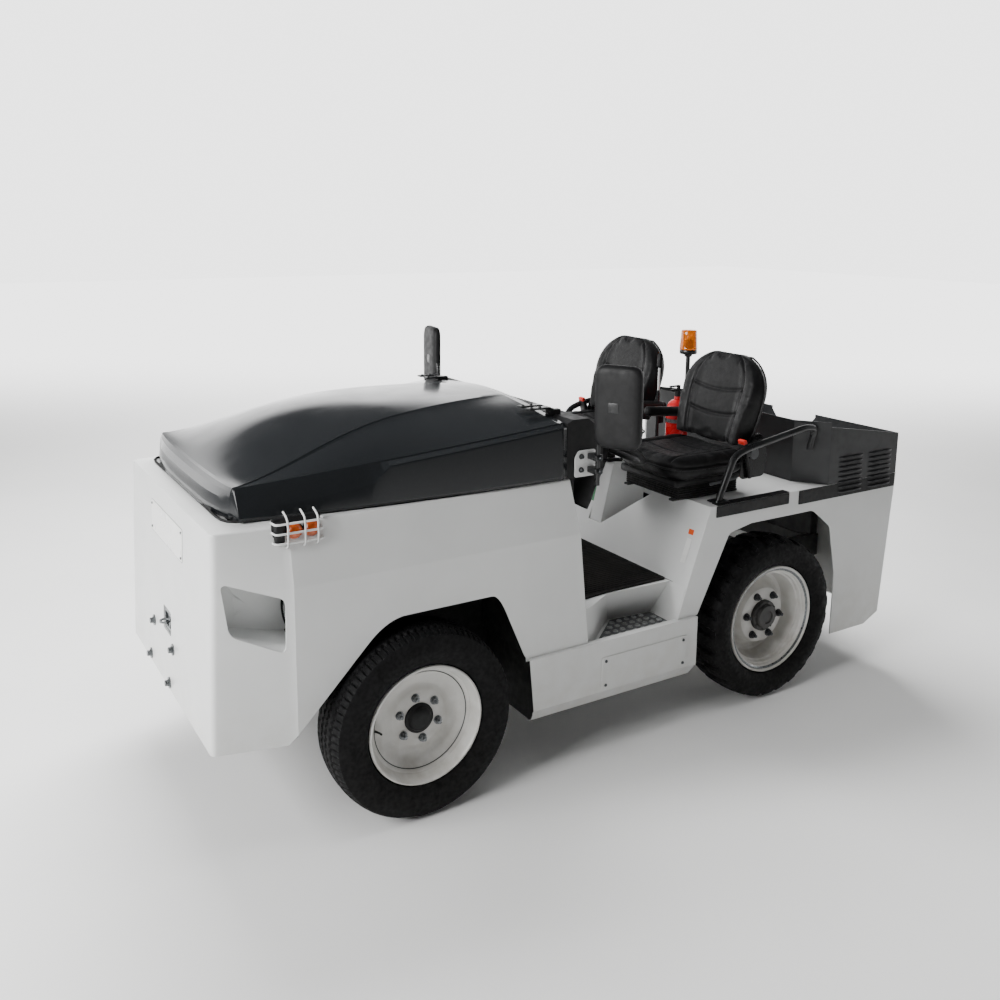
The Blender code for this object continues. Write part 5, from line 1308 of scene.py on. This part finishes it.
def build_seats(finishes):
    """Both seats: pads, shells, bellows, belts and armrests."""
    vinyl = finishes["vinyl"]
    for name, side in (("left", 1), ("right", -1)):
        cushion = new_object("seat_pad_" + name, *pad_surface(0.450, 0.430, 0.096, 0.034, 0.03), vinyl)
        clean(cushion)
        inflated(cushion, 4.0, 0.006)
        reshape(cushion, shape_cushion)
        reshape(cushion, lambda p: p + np.array([-0.5115, side * SEAT_Y, 1.0690]))
        finish_pad(cushion, "seat_cushion_" + name)
        back = new_object("seat_back_pad_" + name, *back_surface(), vinyl)
        clean(back)
        inflated(back, 4.0, 0.006)
        reshape(back, shape_back)
        reshape(back, lambda p: seat_place(p, side))
        finish_pad(back, "seat_back_" + name)
        rise = np.concatenate([np.linspace(0.02, 0.30, 24),
                               0.30 + (BACK_HIGH * 0.965 - 0.30) * np.sin(np.linspace(0.05, 1,
                               20) * math.pi / 2)])
        half = back_width(rise) - 0.001
        line = np.column_stack([np.full(len(rise), -0.012), half, rise])
        line = np.concatenate([line, line[::-1] * (1, -1, 1)])
        piece("seat_back_piping_" + name, tube(seat_place(line, side), 0.0042, 8), finishes["piping"])
        ring = np.arange(72) * TAU / 72
        power = 2 / 4.5
        cx = np.sign(np.cos(ring)) * np.abs(np.cos(ring)) ** power
        cy = np.sign(np.sin(ring)) * np.abs(np.sin(ring)) ** power
        line = np.column_stack([0.2150 * cx - 0.5115, 0.2250 * cy * (1 - 0.03 * cx) + side * SEAT_Y,
                                np.full(72, 1.0725)])
        line = np.concatenate([line, line[:1]])
        piece("seat_cushion_piping_" + name, tube(line, 0.0042, 8, False), finishes["piping"])
        shell = combined(rounded_box((-0.726, side * SEAT_Y - 0.185, 0.992),
                                     (-0.320, side * SEAT_Y + 0.185, 1.026), 0.012))
        bellows = []
        for k in range(6):
            z = DECK + 0.006 + 0.0098 * k
            bellows.append(rounded_box((-0.690 + 0.004, side * SEAT_Y - 0.175, z),
                                       (-0.350, side * SEAT_Y + 0.175, z + 0.0105), 0.005, 3))
        base = piece("seat_bellows_" + name, combined(*bellows), finishes["rubber"],
                     replaces=("seat_base_" + name,))
        base.data.set_sharp_from_angle(angle=math.radians(60))
        piece("seat_pan_" + name, shell, finishes["plastic"])
        rails = [rounded_box((-0.700, side * SEAT_Y + dy - 0.014, DECK + 0.0006),
                             (-0.330, side * SEAT_Y + dy + 0.014, DECK + 0.010), 0.002, 1)
                 for dy in (-0.150, 0.150)]
        piece("seat_rails_" + name, combined(*rails), finishes["satin"])
        hinge_y = side * SEAT_Y
        panel = rounded_outline([(-0.790, 1.000), (-0.640, 1.000), (-0.655, 1.115), (-0.700, 1.190),
                                 (-0.760, 1.195), (-0.800, 1.100)], 0.028)
        outer = 0.232 * side + hinge_y
        hinge = extruded(panel, "XZ", outer - 0.004 * side, outer + 0.0)
        piece("seat_hinge_cover_" + name, hinge, finishes["gloss"], edge=0.0012)
        knob = turned_to(revolved([(0, 0), (0.026, 0), (0.0265, 0.009), (0.023, 0.0135), (0, 0.0145)], 28),
                         (0, side, 0),
                         (-0.715, outer - 0.001 * side, 1.110))
        handle = tube(smooth_path([(-0.640, outer - 0.014 * side, 1.008),
                                   (-0.560, outer - 0.006 * side, 1.004),
                                   (-0.480, outer - 0.006 * side, 1.000)], 0.02), [0.006] * 8, 10)
        piece("seat_knob_" + name, combined(knob, handle), finishes["grey_plastic"])
    for name, side in (("left", 1), ("right", -1)):
        y = side * (SEAT_Y + 0.243)
        stalk = tube(smooth_path([(-0.690, y, 1.005), (-0.668, y, 1.090), (-0.655, y, 1.112)], 0.02), 0.008,
                     10)
        buckle = turned_to(rounded_box((-0.024, -0.0105, 0.0), (0.024, 0.0105, 0.062), 0.006), (0.30, 0, 1),
                           (-0.657, y, 1.104))
        button = turned_to(rounded_box((-0.0205, -0.0085, 0.052), (0.0205, 0.0085, 0.078), 0.004),
                           (0.30, 0, 1), (-0.657, y, 1.104))
        piece("belt_buckle_" + name, combined(stalk, buckle), finishes["plastic"])
        piece("belt_release_" + name, button, finishes["red_plastic"])
        y = side * (SEAT_Y - 0.252)
        rest = turned_to(rounded_box((-0.020, -0.023, 0.0), (0.020, 0.023, 0.250), 0.018, 4), (1, 0, 0.10),
                         (-0.762, y, 1.205))
        pivot = turned_to(revolved([(0, -0.012), (0.022, -0.012), (0.024, 0), (0.022, 0.012), (0, 0.012)],
                                   24), (0, 1, 0), (-0.752, y, 1.203))
        strut = rounded_box((-0.765, y - 0.006, 1.120), (-0.735, y + 0.006, 1.205), 0.004)
        piece("seat_armrest_" + name, combined(rest, pivot, strut), finishes["plastic"])


def finish_pad(made, node):
    made.data.shade_smooth()
    smooth = made.modifiers.new("fine mesh", "SUBSURF")
    smooth.levels = smooth.render_levels = 1
    apply_modifiers(made)
    made.data.shade_smooth()
    enrol(made, "chassis", (node,))


# ---------------------------------------------------------------- cab fittings
def build_steering(finishes):
    """Steering wheel with a thick rim and three spokes; boot, column and stalks below it."""
    tilt = math.radians(32)
    lean = np.array([-math.sin(tilt), 0.0, math.cos(tilt)])
    hub = np.array([CAB_X - 0.290, SEAT_Y, 1.185])
    turn = np.arange(24) * TAU / 24
    profile = [(0.1745 + 0.0130 * math.cos(a), 0.0125 * math.sin(a)) for a in turn[::2]]
    rim = turned_to(closed_ring(profile, 96), lean, hub)
    wheel_frame = np.array(Vector(lean).to_track_quat("Z", "Y").to_matrix())
    parts = [rim]
    for angle in (90, 210, 330):
        way = math.radians(angle)
        along = np.array([math.cos(way), math.sin(way), 0])
        beside = np.array([-math.sin(way), math.cos(way), 0])
        t = np.linspace(0, 1, 14)
        half = 0.030 - 0.018 * np.sin(t * math.pi / 2)
        drop = -0.012 * (1 - t) ** 2
        ring = np.arange(16) * TAU / 16
        points = ((0.030 + 0.138 * t)[:, None, None] * along + (half[:, None] * np.cos(ring))[..., None] * beside
                  + (drop[:, None] + 0.0062 * np.sin(ring))[..., None] * np.array([0, 0, 1.0]))
        parts.append((points.reshape(-1, 3) @ wheel_frame.T + hub, [grid_faces(14, 16, False, True)]))
    cap = turned_to(revolved([(0.038, -0.018), (0.040, -0.004), (0.046, 0.004), (0.044, 0.014),
                              (0.034, 0.0185), (0, 0.0200)], 40), lean, hub)
    piece("steering_wheel_rim", combined(*parts, cap), finishes["wheel_foam"], "steering_wheel_body",
          replaces=("steering_wheel",))
    badge = turned_to(revolved([(0, 0.0200), (0.020, 0.0202), (0.021, 0.0212), (0, 0.0216)], 32), lean, hub)
    piece("steering_cap_disc", badge, finishes["gloss"], "steering_wheel_body")
    boot = revolved([(0.062, -0.285), (0.060, -0.25), (0.052, -0.20), (0.050, -0.16), (0.046, -0.10),
                     (0.040, -0.058),
                     (0.034, -0.040), (0.030, -0.0215), (0, -0.0215)], 40)
    column = turned_to(boot, lean, hub)
    shroud = rounded_box((CAB_X - 0.085, SEAT_Y - 0.085, 0.990), (CAB_X + 0.050, SEAT_Y + 0.085, 1.130),
                         0.022)
    piece("steering_column_cover", combined(column, shroud), finishes["plastic"],
          replaces=("steering_column",))
    foot = hub - lean * 0.075
    stalks = []
    for side, reach in ((1, 0.150), (-1, 0.125)):
        path = smooth_path([foot, foot + (0.004, side * 0.070, 0.004), foot + (-0.010, side * reach, 0.022)],
                           0.02)
        stalks.append(tube(path, np.interp(np.linspace(0, 1, len(path)), [0, 0.6, 0.75, 1],
                                           [0.0045, 0.0045, 0.0085, 0.0080]), 12))
    piece("column_stalks", combined(*stalks), finishes["plastic"])


def build_dash_details(finishes):
    """Instrument hood, screen, switches, a key and a stop button on the dash; a tray lip and the foot pedals."""
    face = 0.1085
    frame_box = rounded_box((face - 0.0035, 0.235, 1.215), (face + 0.020, 0.435, 1.325), 0.010)
    piece("instrument_frame", frame_box, finishes["gloss"])
    screen = rounded_box((face - 0.0055, 0.250, 1.228), (face + 0.004, 0.420, 1.312), 0.004)
    piece("instrument_screen", screen, finishes["screen"])
    switches = [rounded_box((face - 0.006, y, 1.235), (face + 0.010, y + 0.020, 1.268),
                            0.003) for y in (0.085, 0.111, 0.137, 0.163)]
    switches += [rounded_box((face - 0.006, -y - 0.020, 1.235), (face + 0.010, -y, 1.268),
                             0.003) for y in (0.060, 0.086)]
    piece("dash_switches", combined(*switches), finishes["grey_plastic"])
    key = turned_to(revolved([(0, 0), (0.017, 0), (0.017, 0.004), (0.012, 0.007), (0, 0.007)], 24),
                    (-1, 0, 0), (face + 0.001, 0.050, 1.250))
    stop = turned_to(revolved([(0, 0), (0.020, 0), (0.020, 0.010), (0.014, 0.012), (0.014, 0.024),
                               (0.021, 0.026), (0.019, 0.034), (0, 0.037)], 28),
                     (-1, 0, 0), (face + 0.001, 0.0, 1.250))
    piece("key_barrel", key, finishes["zinc"])
    piece("stop_button", stop, finishes["red_plastic"])
    drawer = rounded_box((face - 0.004, -0.50, 1.165), (face + 0.012, -0.10, 1.215), 0.006)
    piece("glove_tray_lip", drawer, finishes["plastic"])
    pedals = []
    for y in (0.27, 0.40):
        pad = turned_to(rounded_box((-0.045, -0.030, 0.0), (0.045, 0.030, 0.010), 0.004), (-0.75, 0, 0.66),
                        (0.165, y, 0.680))
        arm = tube([(0.176, y, 0.690), (0.205, y, 0.740), (0.2195, y, 0.80)], 0.007, 10)
        pedals += [pad, arm]
    piece("foot_pedals", combined(*pedals), finishes["plastic"])


def build_levers(finishes):
    """Parking lever with a pale knob beside the seat, the console's plate and blank green label."""
    low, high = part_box("centre_console")
    gaiter = moved(revolved([(0, 0), (0.034, 0), (0.030, 0.010), (0.033, 0.016), (0.024, 0.026),
                             (0.027, 0.032), (0.013, 0.044), (0, 0.046)], 28),
                   (-0.405, low.y + 0.045, high.z - 0.001))
    piece("lever_gaiter", gaiter, finishes["rubber"])
    stem_path = smooth_path([(-0.405, low.y + 0.045, high.z + 0.036), (-0.392, low.y + 0.045, high.z + 0.110),
                             (-0.360, low.y + 0.045, high.z + 0.185)], 0.03)
    piece("lever_stem", tube(stem_path, 0.006, 12), finishes["white"])
    knob = turned_to(rounded_box((-0.013, -0.013, 0), (0.013, 0.013, 0.075), 0.0125, 5), (0.34, 0, 0.94),
                     (-0.363, low.y + 0.045, high.z + 0.178))
    piece("lever_grip", knob, finishes["plastic"])
    tall = smooth_path([(-0.728, -0.082, DECK + 0.002), (-0.728, -0.082, 1.285)], 0.02)
    guide = rounded_box((-0.752, -0.106, DECK + 0.0006), (-0.704, -0.060, DECK + 0.030), 0.005)
    piece("tall_lever_tube", combined(tube(tall, 0.0085, 14), guide), finishes["satin"])
    piece("tall_lever_rod", tube([(-0.728, -0.082, 1.280), (-0.730, -0.082, 1.405)], 0.0058, 12),
          finishes["white"])
    grip = turned_to(rounded_box((-0.013, -0.013, 0), (0.013, 0.013, 0.072), 0.0125, 5), (-0.05, 0, 1),
                     (-0.730, -0.082, 1.392))
    piece("tall_lever_grip", grip, finishes["plastic"])
    slope = (1.0, 0.0, 0.345)
    for name, finish, y, z, wide, tall in (("blank_green_label", "label", -0.085, 0.815, 0.155, 0.072),
                                           ("blank_white_label", "plate", 0.574, 0.735, 0.028, 0.105),
                                           ("blank_orange_label", "label_orange", 0.572, 0.812, 0.030,
                                            0.022)):
        shape = turned_to(rounded_box((-wide / 2, -tall / 2, 0.0), (wide / 2, tall / 2, 0.0009), 0.0004, 1),
                          slope,
                          (-0.2565 - (z - 0.470) * 0.345 + 0.0004, y, z))
        piece(name, shape, finishes[finish])
    cover = rounded_box((-0.585, low.y + 0.010, high.z - 0.0005), (-0.470, high.y - 0.010, high.z + 0.006),
                        0.0025)
    piece("console_cover", cover, finishes["plastic"])


def build_mirrors(finishes):
    """Mirror heads in moulded housings on bent posts, clamped to ear plates beside the dash."""
    for name, side in (("left", 1), ("right", -1)):
        turn = math.radians(31 if side > 0 else -9)
        low_x = cab_edge(BODY_TOP) - 0.115
        x, post_y = low_x + 0.022, side * SIDE_Y
        head = np.array([x - 0.012, post_y + side * 0.096, 1.418])
        swing = np.array([[math.cos(turn), -math.sin(turn), 0], [math.sin(turn), math.cos(turn), 0],
                          [0, 0, 1]])
        outline = rounded_outline([(-0.092, -0.156), (0.092, -0.156), (0.092, 0.156), (-0.092, 0.156)], 0.046,
                                  8)
        rows = []
        for depth, grow in ((-0.0105, -0.010), (-0.0150, -0.0085), (-0.0168, -0.0050), (-0.0160, -0.0010),
                            (-0.0120, 0.0), (-0.0020, 0.0),
                            (0.0080, -0.004), (0.0135, -0.014), (0.0162, -0.030), (0.0168, -0.060)):
            centre_scale = (np.array([0.092, 0.156]) + grow) / np.array([0.092, 0.156])
            ring = outline * centre_scale
            rows.append(np.column_stack([np.full(len(ring), depth), ring[:, 0], ring[:, 1]]))
        points = np.concatenate(rows)
        count = len(outline)
        faces = [grid_faces(len(rows), count, False, True), np.arange(count)[None, ::-1],
                 np.arange((len(rows) - 1) * count, len(rows) * count)[None]]
        housing = (points @ swing.T + head, faces)
        piece("mirror_housing_" + name, housing, finishes["plastic"], replaces=("mirror_" + name,), angle=50)
        glass = extruded(outline * (0.91, 0.94), "YZ", -0.0116, -0.0098)
        piece("mirror_glass_" + name, (glass[0] @ swing.T + head, glass[1]), finishes["mirror"])
        path = smooth_path([(x, post_y, BODY_TOP - 0.025), (x, post_y, 1.375),
                            (x - 0.002, post_y + side * 0.020, 1.420),
                            (head[0] + 0.014, head[1] - side * 0.030, 1.432)], 0.035)
        tip = rounded_box((-0.004, -0.024, -0.022), (0.010, 0.024, 0.022), 0.006)
        lug = (tip[0] @ swing.T + head + swing @ np.array([0.008, -side * 0.012, 0.0]), tip[1])
        piece("mirror_post_" + name, combined(tube(path, 0.0088, 16), lug), finishes["satin"])
        ear = rounded_outline([(low_x, BODY_TOP + 0.002), (low_x + 0.095, BODY_TOP + 0.002),
                               (low_x + 0.095, BODY_TOP + 0.080),
                               (low_x + 0.078, BODY_TOP + 0.105), (low_x, BODY_TOP + 0.105)], 0.010)
        inner = side * 0.5890
        piece("mirror_ear_plate_" + name, extruded(ear, "XZ", inner, inner + side * 0.006), finishes["white"],
              edge=0.001)
        clamps = []
        for z in (1.160, 1.212):
            clamps.append(rounded_box((x - 0.016, inner + side * 0.006, z - 0.012),
                                      (x + 0.018, post_y + side * 0.013, z + 0.012), 0.005))
        clamp_bolts = bolts([(x + 0.0, post_y + side * 0.012, z) for z in (1.160, 1.212)]
                            + [(x + 0.045, inner + side * 0.006, z) for z in (1.160, 1.212)], (0, side, 0),
                            hex_bolt(0.015))
        piece("mirror_clamps_" + name, combined(*clamps), finishes["satin"])
        piece("mirror_clamp_bolts_" + name, clamp_bolts, finishes["dark_bolt"])


def build_beacon(finishes):
    low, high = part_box("beacon")
    x, y = (low.x + high.x) / 2, (low.y + high.y) / 2
    lens_low, lens_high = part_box("beacon_lens")
    mast = combined(tube([(x, y, DECK + 0.0006), (x, y, 1.452)], 0.0105, 18),
                    moved(revolved([(0, 0), (0.035, 0), (0.035, 0.006), (0.020, 0.0085), (0.014, 0.020),
                                    (0, 0.020)], 28), (x, y, DECK + 0.0006)),
                    moved(revolved([(0, 0), (0.016, 0), (0.020, 0.010), (0.040, 0.014), (0.0425, 0.020),
                                    (0.0425, 0.030), (0.0405, 0.0345), (0, 0.0345)], 40),
                          (x, y, 1.4450)))
    piece("beacon_mast", mast, finishes["satin"], replaces=("beacon",))
    height = lens_high.z - lens_low.z
    profile = [(0, 0), (0.0415, 0), (0.0432, 0.003)]
    for k in range(11):
        z = 0.008 + k * 0.0066
        profile += [(0.0432 - 0.0004 * k, z), (0.0416 - 0.0004 * k, z + 0.0033)]
    profile += [(0.0385, height - 0.008), (0.0350, height - 0.0025), (0.0290, height - 0.0005), (0, height)]
    lens = moved(revolved(profile, 48), (x, y, lens_low.z))
    piece("beacon_dome", lens, finishes["beacon"], angle=60, replaces=("beacon_lens",))
    core = moved(revolved([(0, 0.004), (0.016, 0.004), (0.016, 0.045), (0.010, 0.052), (0, 0.052)], 24),
                 (x, y, lens_low.z))
    piece("beacon_lamp_core", core, finishes["chrome"])


def build_extinguisher(finishes):
    low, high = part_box("extinguisher")
    place = ((low.x + high.x) / 2, (low.y + high.y) / 2, DECK + 0.0006)
    shell = moved(revolved([(0, 0), (0.049, 0), (0.052, 0.004), (0.052, 0.270), (0.049, 0.288),
                            (0.041, 0.306), (0.028, 0.318), (0.016, 0.322),
                            (0.015, 0.338), (0, 0.338)], 48), place)
    piece("extinguisher_bottle", shell, finishes["red_enamel"], replaces=("extinguisher",))
    valve_body = moved(combined(revolved([(0, 0.336), (0.0145, 0.336), (0.0145, 0.366), (0.0095, 0.370),
                                          (0, 0.370)], 20),
                                rounded_box((-0.010, -0.007, 0.366), (0.046, 0.007, 0.373), 0.002),
                                rounded_box((-0.008, -0.007, 0.384), (0.050, 0.007, 0.391), 0.002),
                                rounded_box((-0.011, -0.008, 0.360), (0.002, 0.008, 0.392), 0.003)), place)
    piece("extinguisher_valve", valve_body, finishes["plastic"])
    straps = [moved(closed_ring([(0.0522, z), (0.0540, z), (0.0540, z + 0.018), (0.0522, z + 0.018)], 40),
                    place) for z in (0.075, 0.215)]
    piece("extinguisher_straps", combined(*straps), finishes["zinc"])


def build_turn_lamps(finishes):
    """Two amber domes and a dark one on a base, behind a white rounded wire guard."""
    low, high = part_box("turn_lamp_left")
    y = high.y - 0.046
    base = rounded_box((1.262, y - 0.004, 1.060), (1.430, y + 0.010, 1.150), 0.010)
    piece("turn_lamp_bases", both_sides(base), finishes["plastic"],
          replaces=("turn_lamp_left", "turn_lamp_right"))
    dome = revolved([(0.0265, 0), (0.0265, 0.010), (0.0235, 0.019), (0.0150, 0.0255), (0, 0.028)], 32)
    ring = revolved([(0.0300, 0), (0.0300, 0.006), (0.0265, 0.0075), (0.0265, 0)], 32)
    amber = bolts([(x, y + 0.010, 1.104) for x in (1.300, 1.358)], (0, 1, 0), dome)
    piece("turn_lamp_lenses", both_sides(amber), finishes["amber_solid"])
    rings = bolts([(x, y + 0.0095, 1.104) for x in (1.300, 1.358)], (0, 1, 0), ring)
    box = rounded_box((1.392, y + 0.004, 1.070), (1.424, y + 0.030, 1.140), 0.006)
    piece("turn_lamp_rings", both_sides(combined(rings, box)), finishes["plastic"])
    guard = []
    for z in (1.072, 1.104, 1.136):
        guard.append(tube(smooth_path([(1.264, y - 0.002, z), (1.264, y + 0.038, z), (1.428, y + 0.038, z),
                                       (1.428, y - 0.002, z)], 0.022), 0.0038, 10))
    for x in (1.285, 1.329, 1.387):
        guard.append(tube(smooth_path([(x, y - 0.004, 1.166), (x, y + 0.040, 1.150), (x, y + 0.0415, 1.104),
                                       (x, y + 0.040, 1.058),
                                       (x, y - 0.002, 1.046)], 0.018), 0.0034, 10))
    piece("turn_lamp_guards", both_sides(combined(*guard)), finishes["white"])


def build_splash_panels(finishes):
    """Dark panels behind each front wheel: along the battery, and across ahead of the sill."""
    side = rounded_outline([(0.245, 0.300), (0.790, 0.300), (0.790, 0.500), (1.070, 0.500), (1.070, 0.420),
                            (1.440, 0.420),
                            (1.440, 0.900), (0.245, 0.900)], 0.010)
    across = rounded_outline([(0.294, 0.215), (0.632, 0.215), (0.650, 0.262), (0.632, 0.640), (0.294, 0.700)],
                             0.008)
    panels = combined(extruded(side, "XZ", 0.288, 0.292), extruded(across, "YZ", 0.4560, 0.4600))
    piece("splash_panels", both_sides(panels), finishes["liner"])


def dress_frame(finishes):
    """The hidden drive and frame parts keep their CAD shape, softened and finished."""
    softened("chassis_frame", 0.002, finishes["chassis"])
    softened("battery_pack", 0.004, finishes["chassis"])
    softened("front_axle", 0.003, finishes["chassis"])
    softened("rear_axle", 0.003, finishes["chassis"])
    softened("wheel_liner_left", 0.002, finishes["liner"])
    softened("wheel_liner_right", 0.002, finishes["liner"])
    for name in ("left", "right"):
        softened("knuckle_" + name, 0.002, finishes["chassis"], "knuckle_%s_body" % name)


# ---------------------------------------------------------------- everything
def make_finishes():
    """Every material, by a short name."""
    return {
        "white": paint("white powder coat", "#DCDDDC", "#C4C2BC"),
        "rim": paint("white wheel enamel", "#DAD9D5", "#A9A49B", 0.40),
        "plate": paint("blank white plate", "#EDEDEB", "#D9D8D4", 0.28),
        "smoked": smoked_gloss(),
        "plastic": moulded_plastic(),
        "gloss": moulded_plastic("black gloss plastic", "#131314", 0.20, 3.0),
        "grey_plastic": moulded_plastic("grey moulded plastic", "#4A4C4E", 0.48),
        "red_plastic": moulded_plastic("red moulded plastic", "#B7241C", 0.36),
        "wheel_foam": moulded_plastic("steering wheel foam", "#171718", 0.60, 1.0),
        "liner": moulded_plastic("wheel liner plastic", "#141414", 0.72, 2.4),
        "piping": moulded_plastic("seat piping vinyl", "#121213", 0.40, 0.8),
        "black_steel": coated_steel("black powder-coated steel", "#17181A"),
        "satin": coated_steel("satin black steel", "#131415", 0.34),
        "hub": coated_steel("black hub casting", "#1A1A1B", 0.5),
        "chassis": coated_steel("chassis paint", "#1A1B1C", 0.58),
        "zinc": bare_metal("zinc-plated steel", "#8F9294"),
        "dark_bolt": bare_metal("dark plated bolts", "#5A5C5E", 0.42),
        "chrome": bare_metal("bright reflector", "#D9DBDC", 0.12, 12),
        "tread": coated_steel("grey tread plate", "#525456", 0.5),
        "dimple": bare_metal("worn bright dimples", "#D5D7D8", 0.42, 5),
        "rubber": moulded_plastic("black rubber", "#0E0E0E", 0.68, 1.0),
        "mat": ribbed_rubber(),
        "tyre": tyre_rubber(),
        "vinyl": grained_vinyl(),
        "screen": moulded_plastic("dark display glass", "#0B0D0F", 0.10, 6.0),
        # Grey of the badge backing: painted shade standing for the recess line round the badge plate.
        "recess_shade_grey": paint("painted recess shade round badge", "#9C9D9C", "#8E8D8A", 0.36),
        "label_orange": moulded_plastic("orange label film", "#D9541E", 0.42, 4.0),
        "label": moulded_plastic("green label film", "#3E8E5A", 0.42, 4.0),
        "mirror": mirror_glass(),
        "clear": lens_plastic("clear lens", "#EDF1F2", 0.92, 0.06),
        "amber": lens_plastic("amber lens", "#E07A12", 0.35, 0.14, 2.0),
        "amber_solid": lens_plastic("amber dome", "#DE5E12", 0.22, 0.16),
        "beacon": lens_plastic("beacon dome", "#E8760A", 0.45, 0.10),
        "red_lens": lens_plastic("red lens", "#B0181A", 0.30, 0.14, 2.0),
        "red_enamel": coated_steel("red enamel", "#B5171C", 0.28, "#A0302C"),
    }


def main():
    """Build the stage, the lights and every piece."""
    build_camera()
    build_stage()
    build_lights()
    finishes = make_finishes()
    build_front_body(finishes["white"])
    for build in (build_headlamps, build_nose_details, build_hood, build_cab, build_rear_box, build_rails,
                  build_wheels,
                  build_seats, build_steering, build_dash_details, build_levers, build_mirrors, build_beacon,
                  build_extinguisher, build_turn_lamps, build_splash_panels, dress_frame):
        build(finishes)


main()
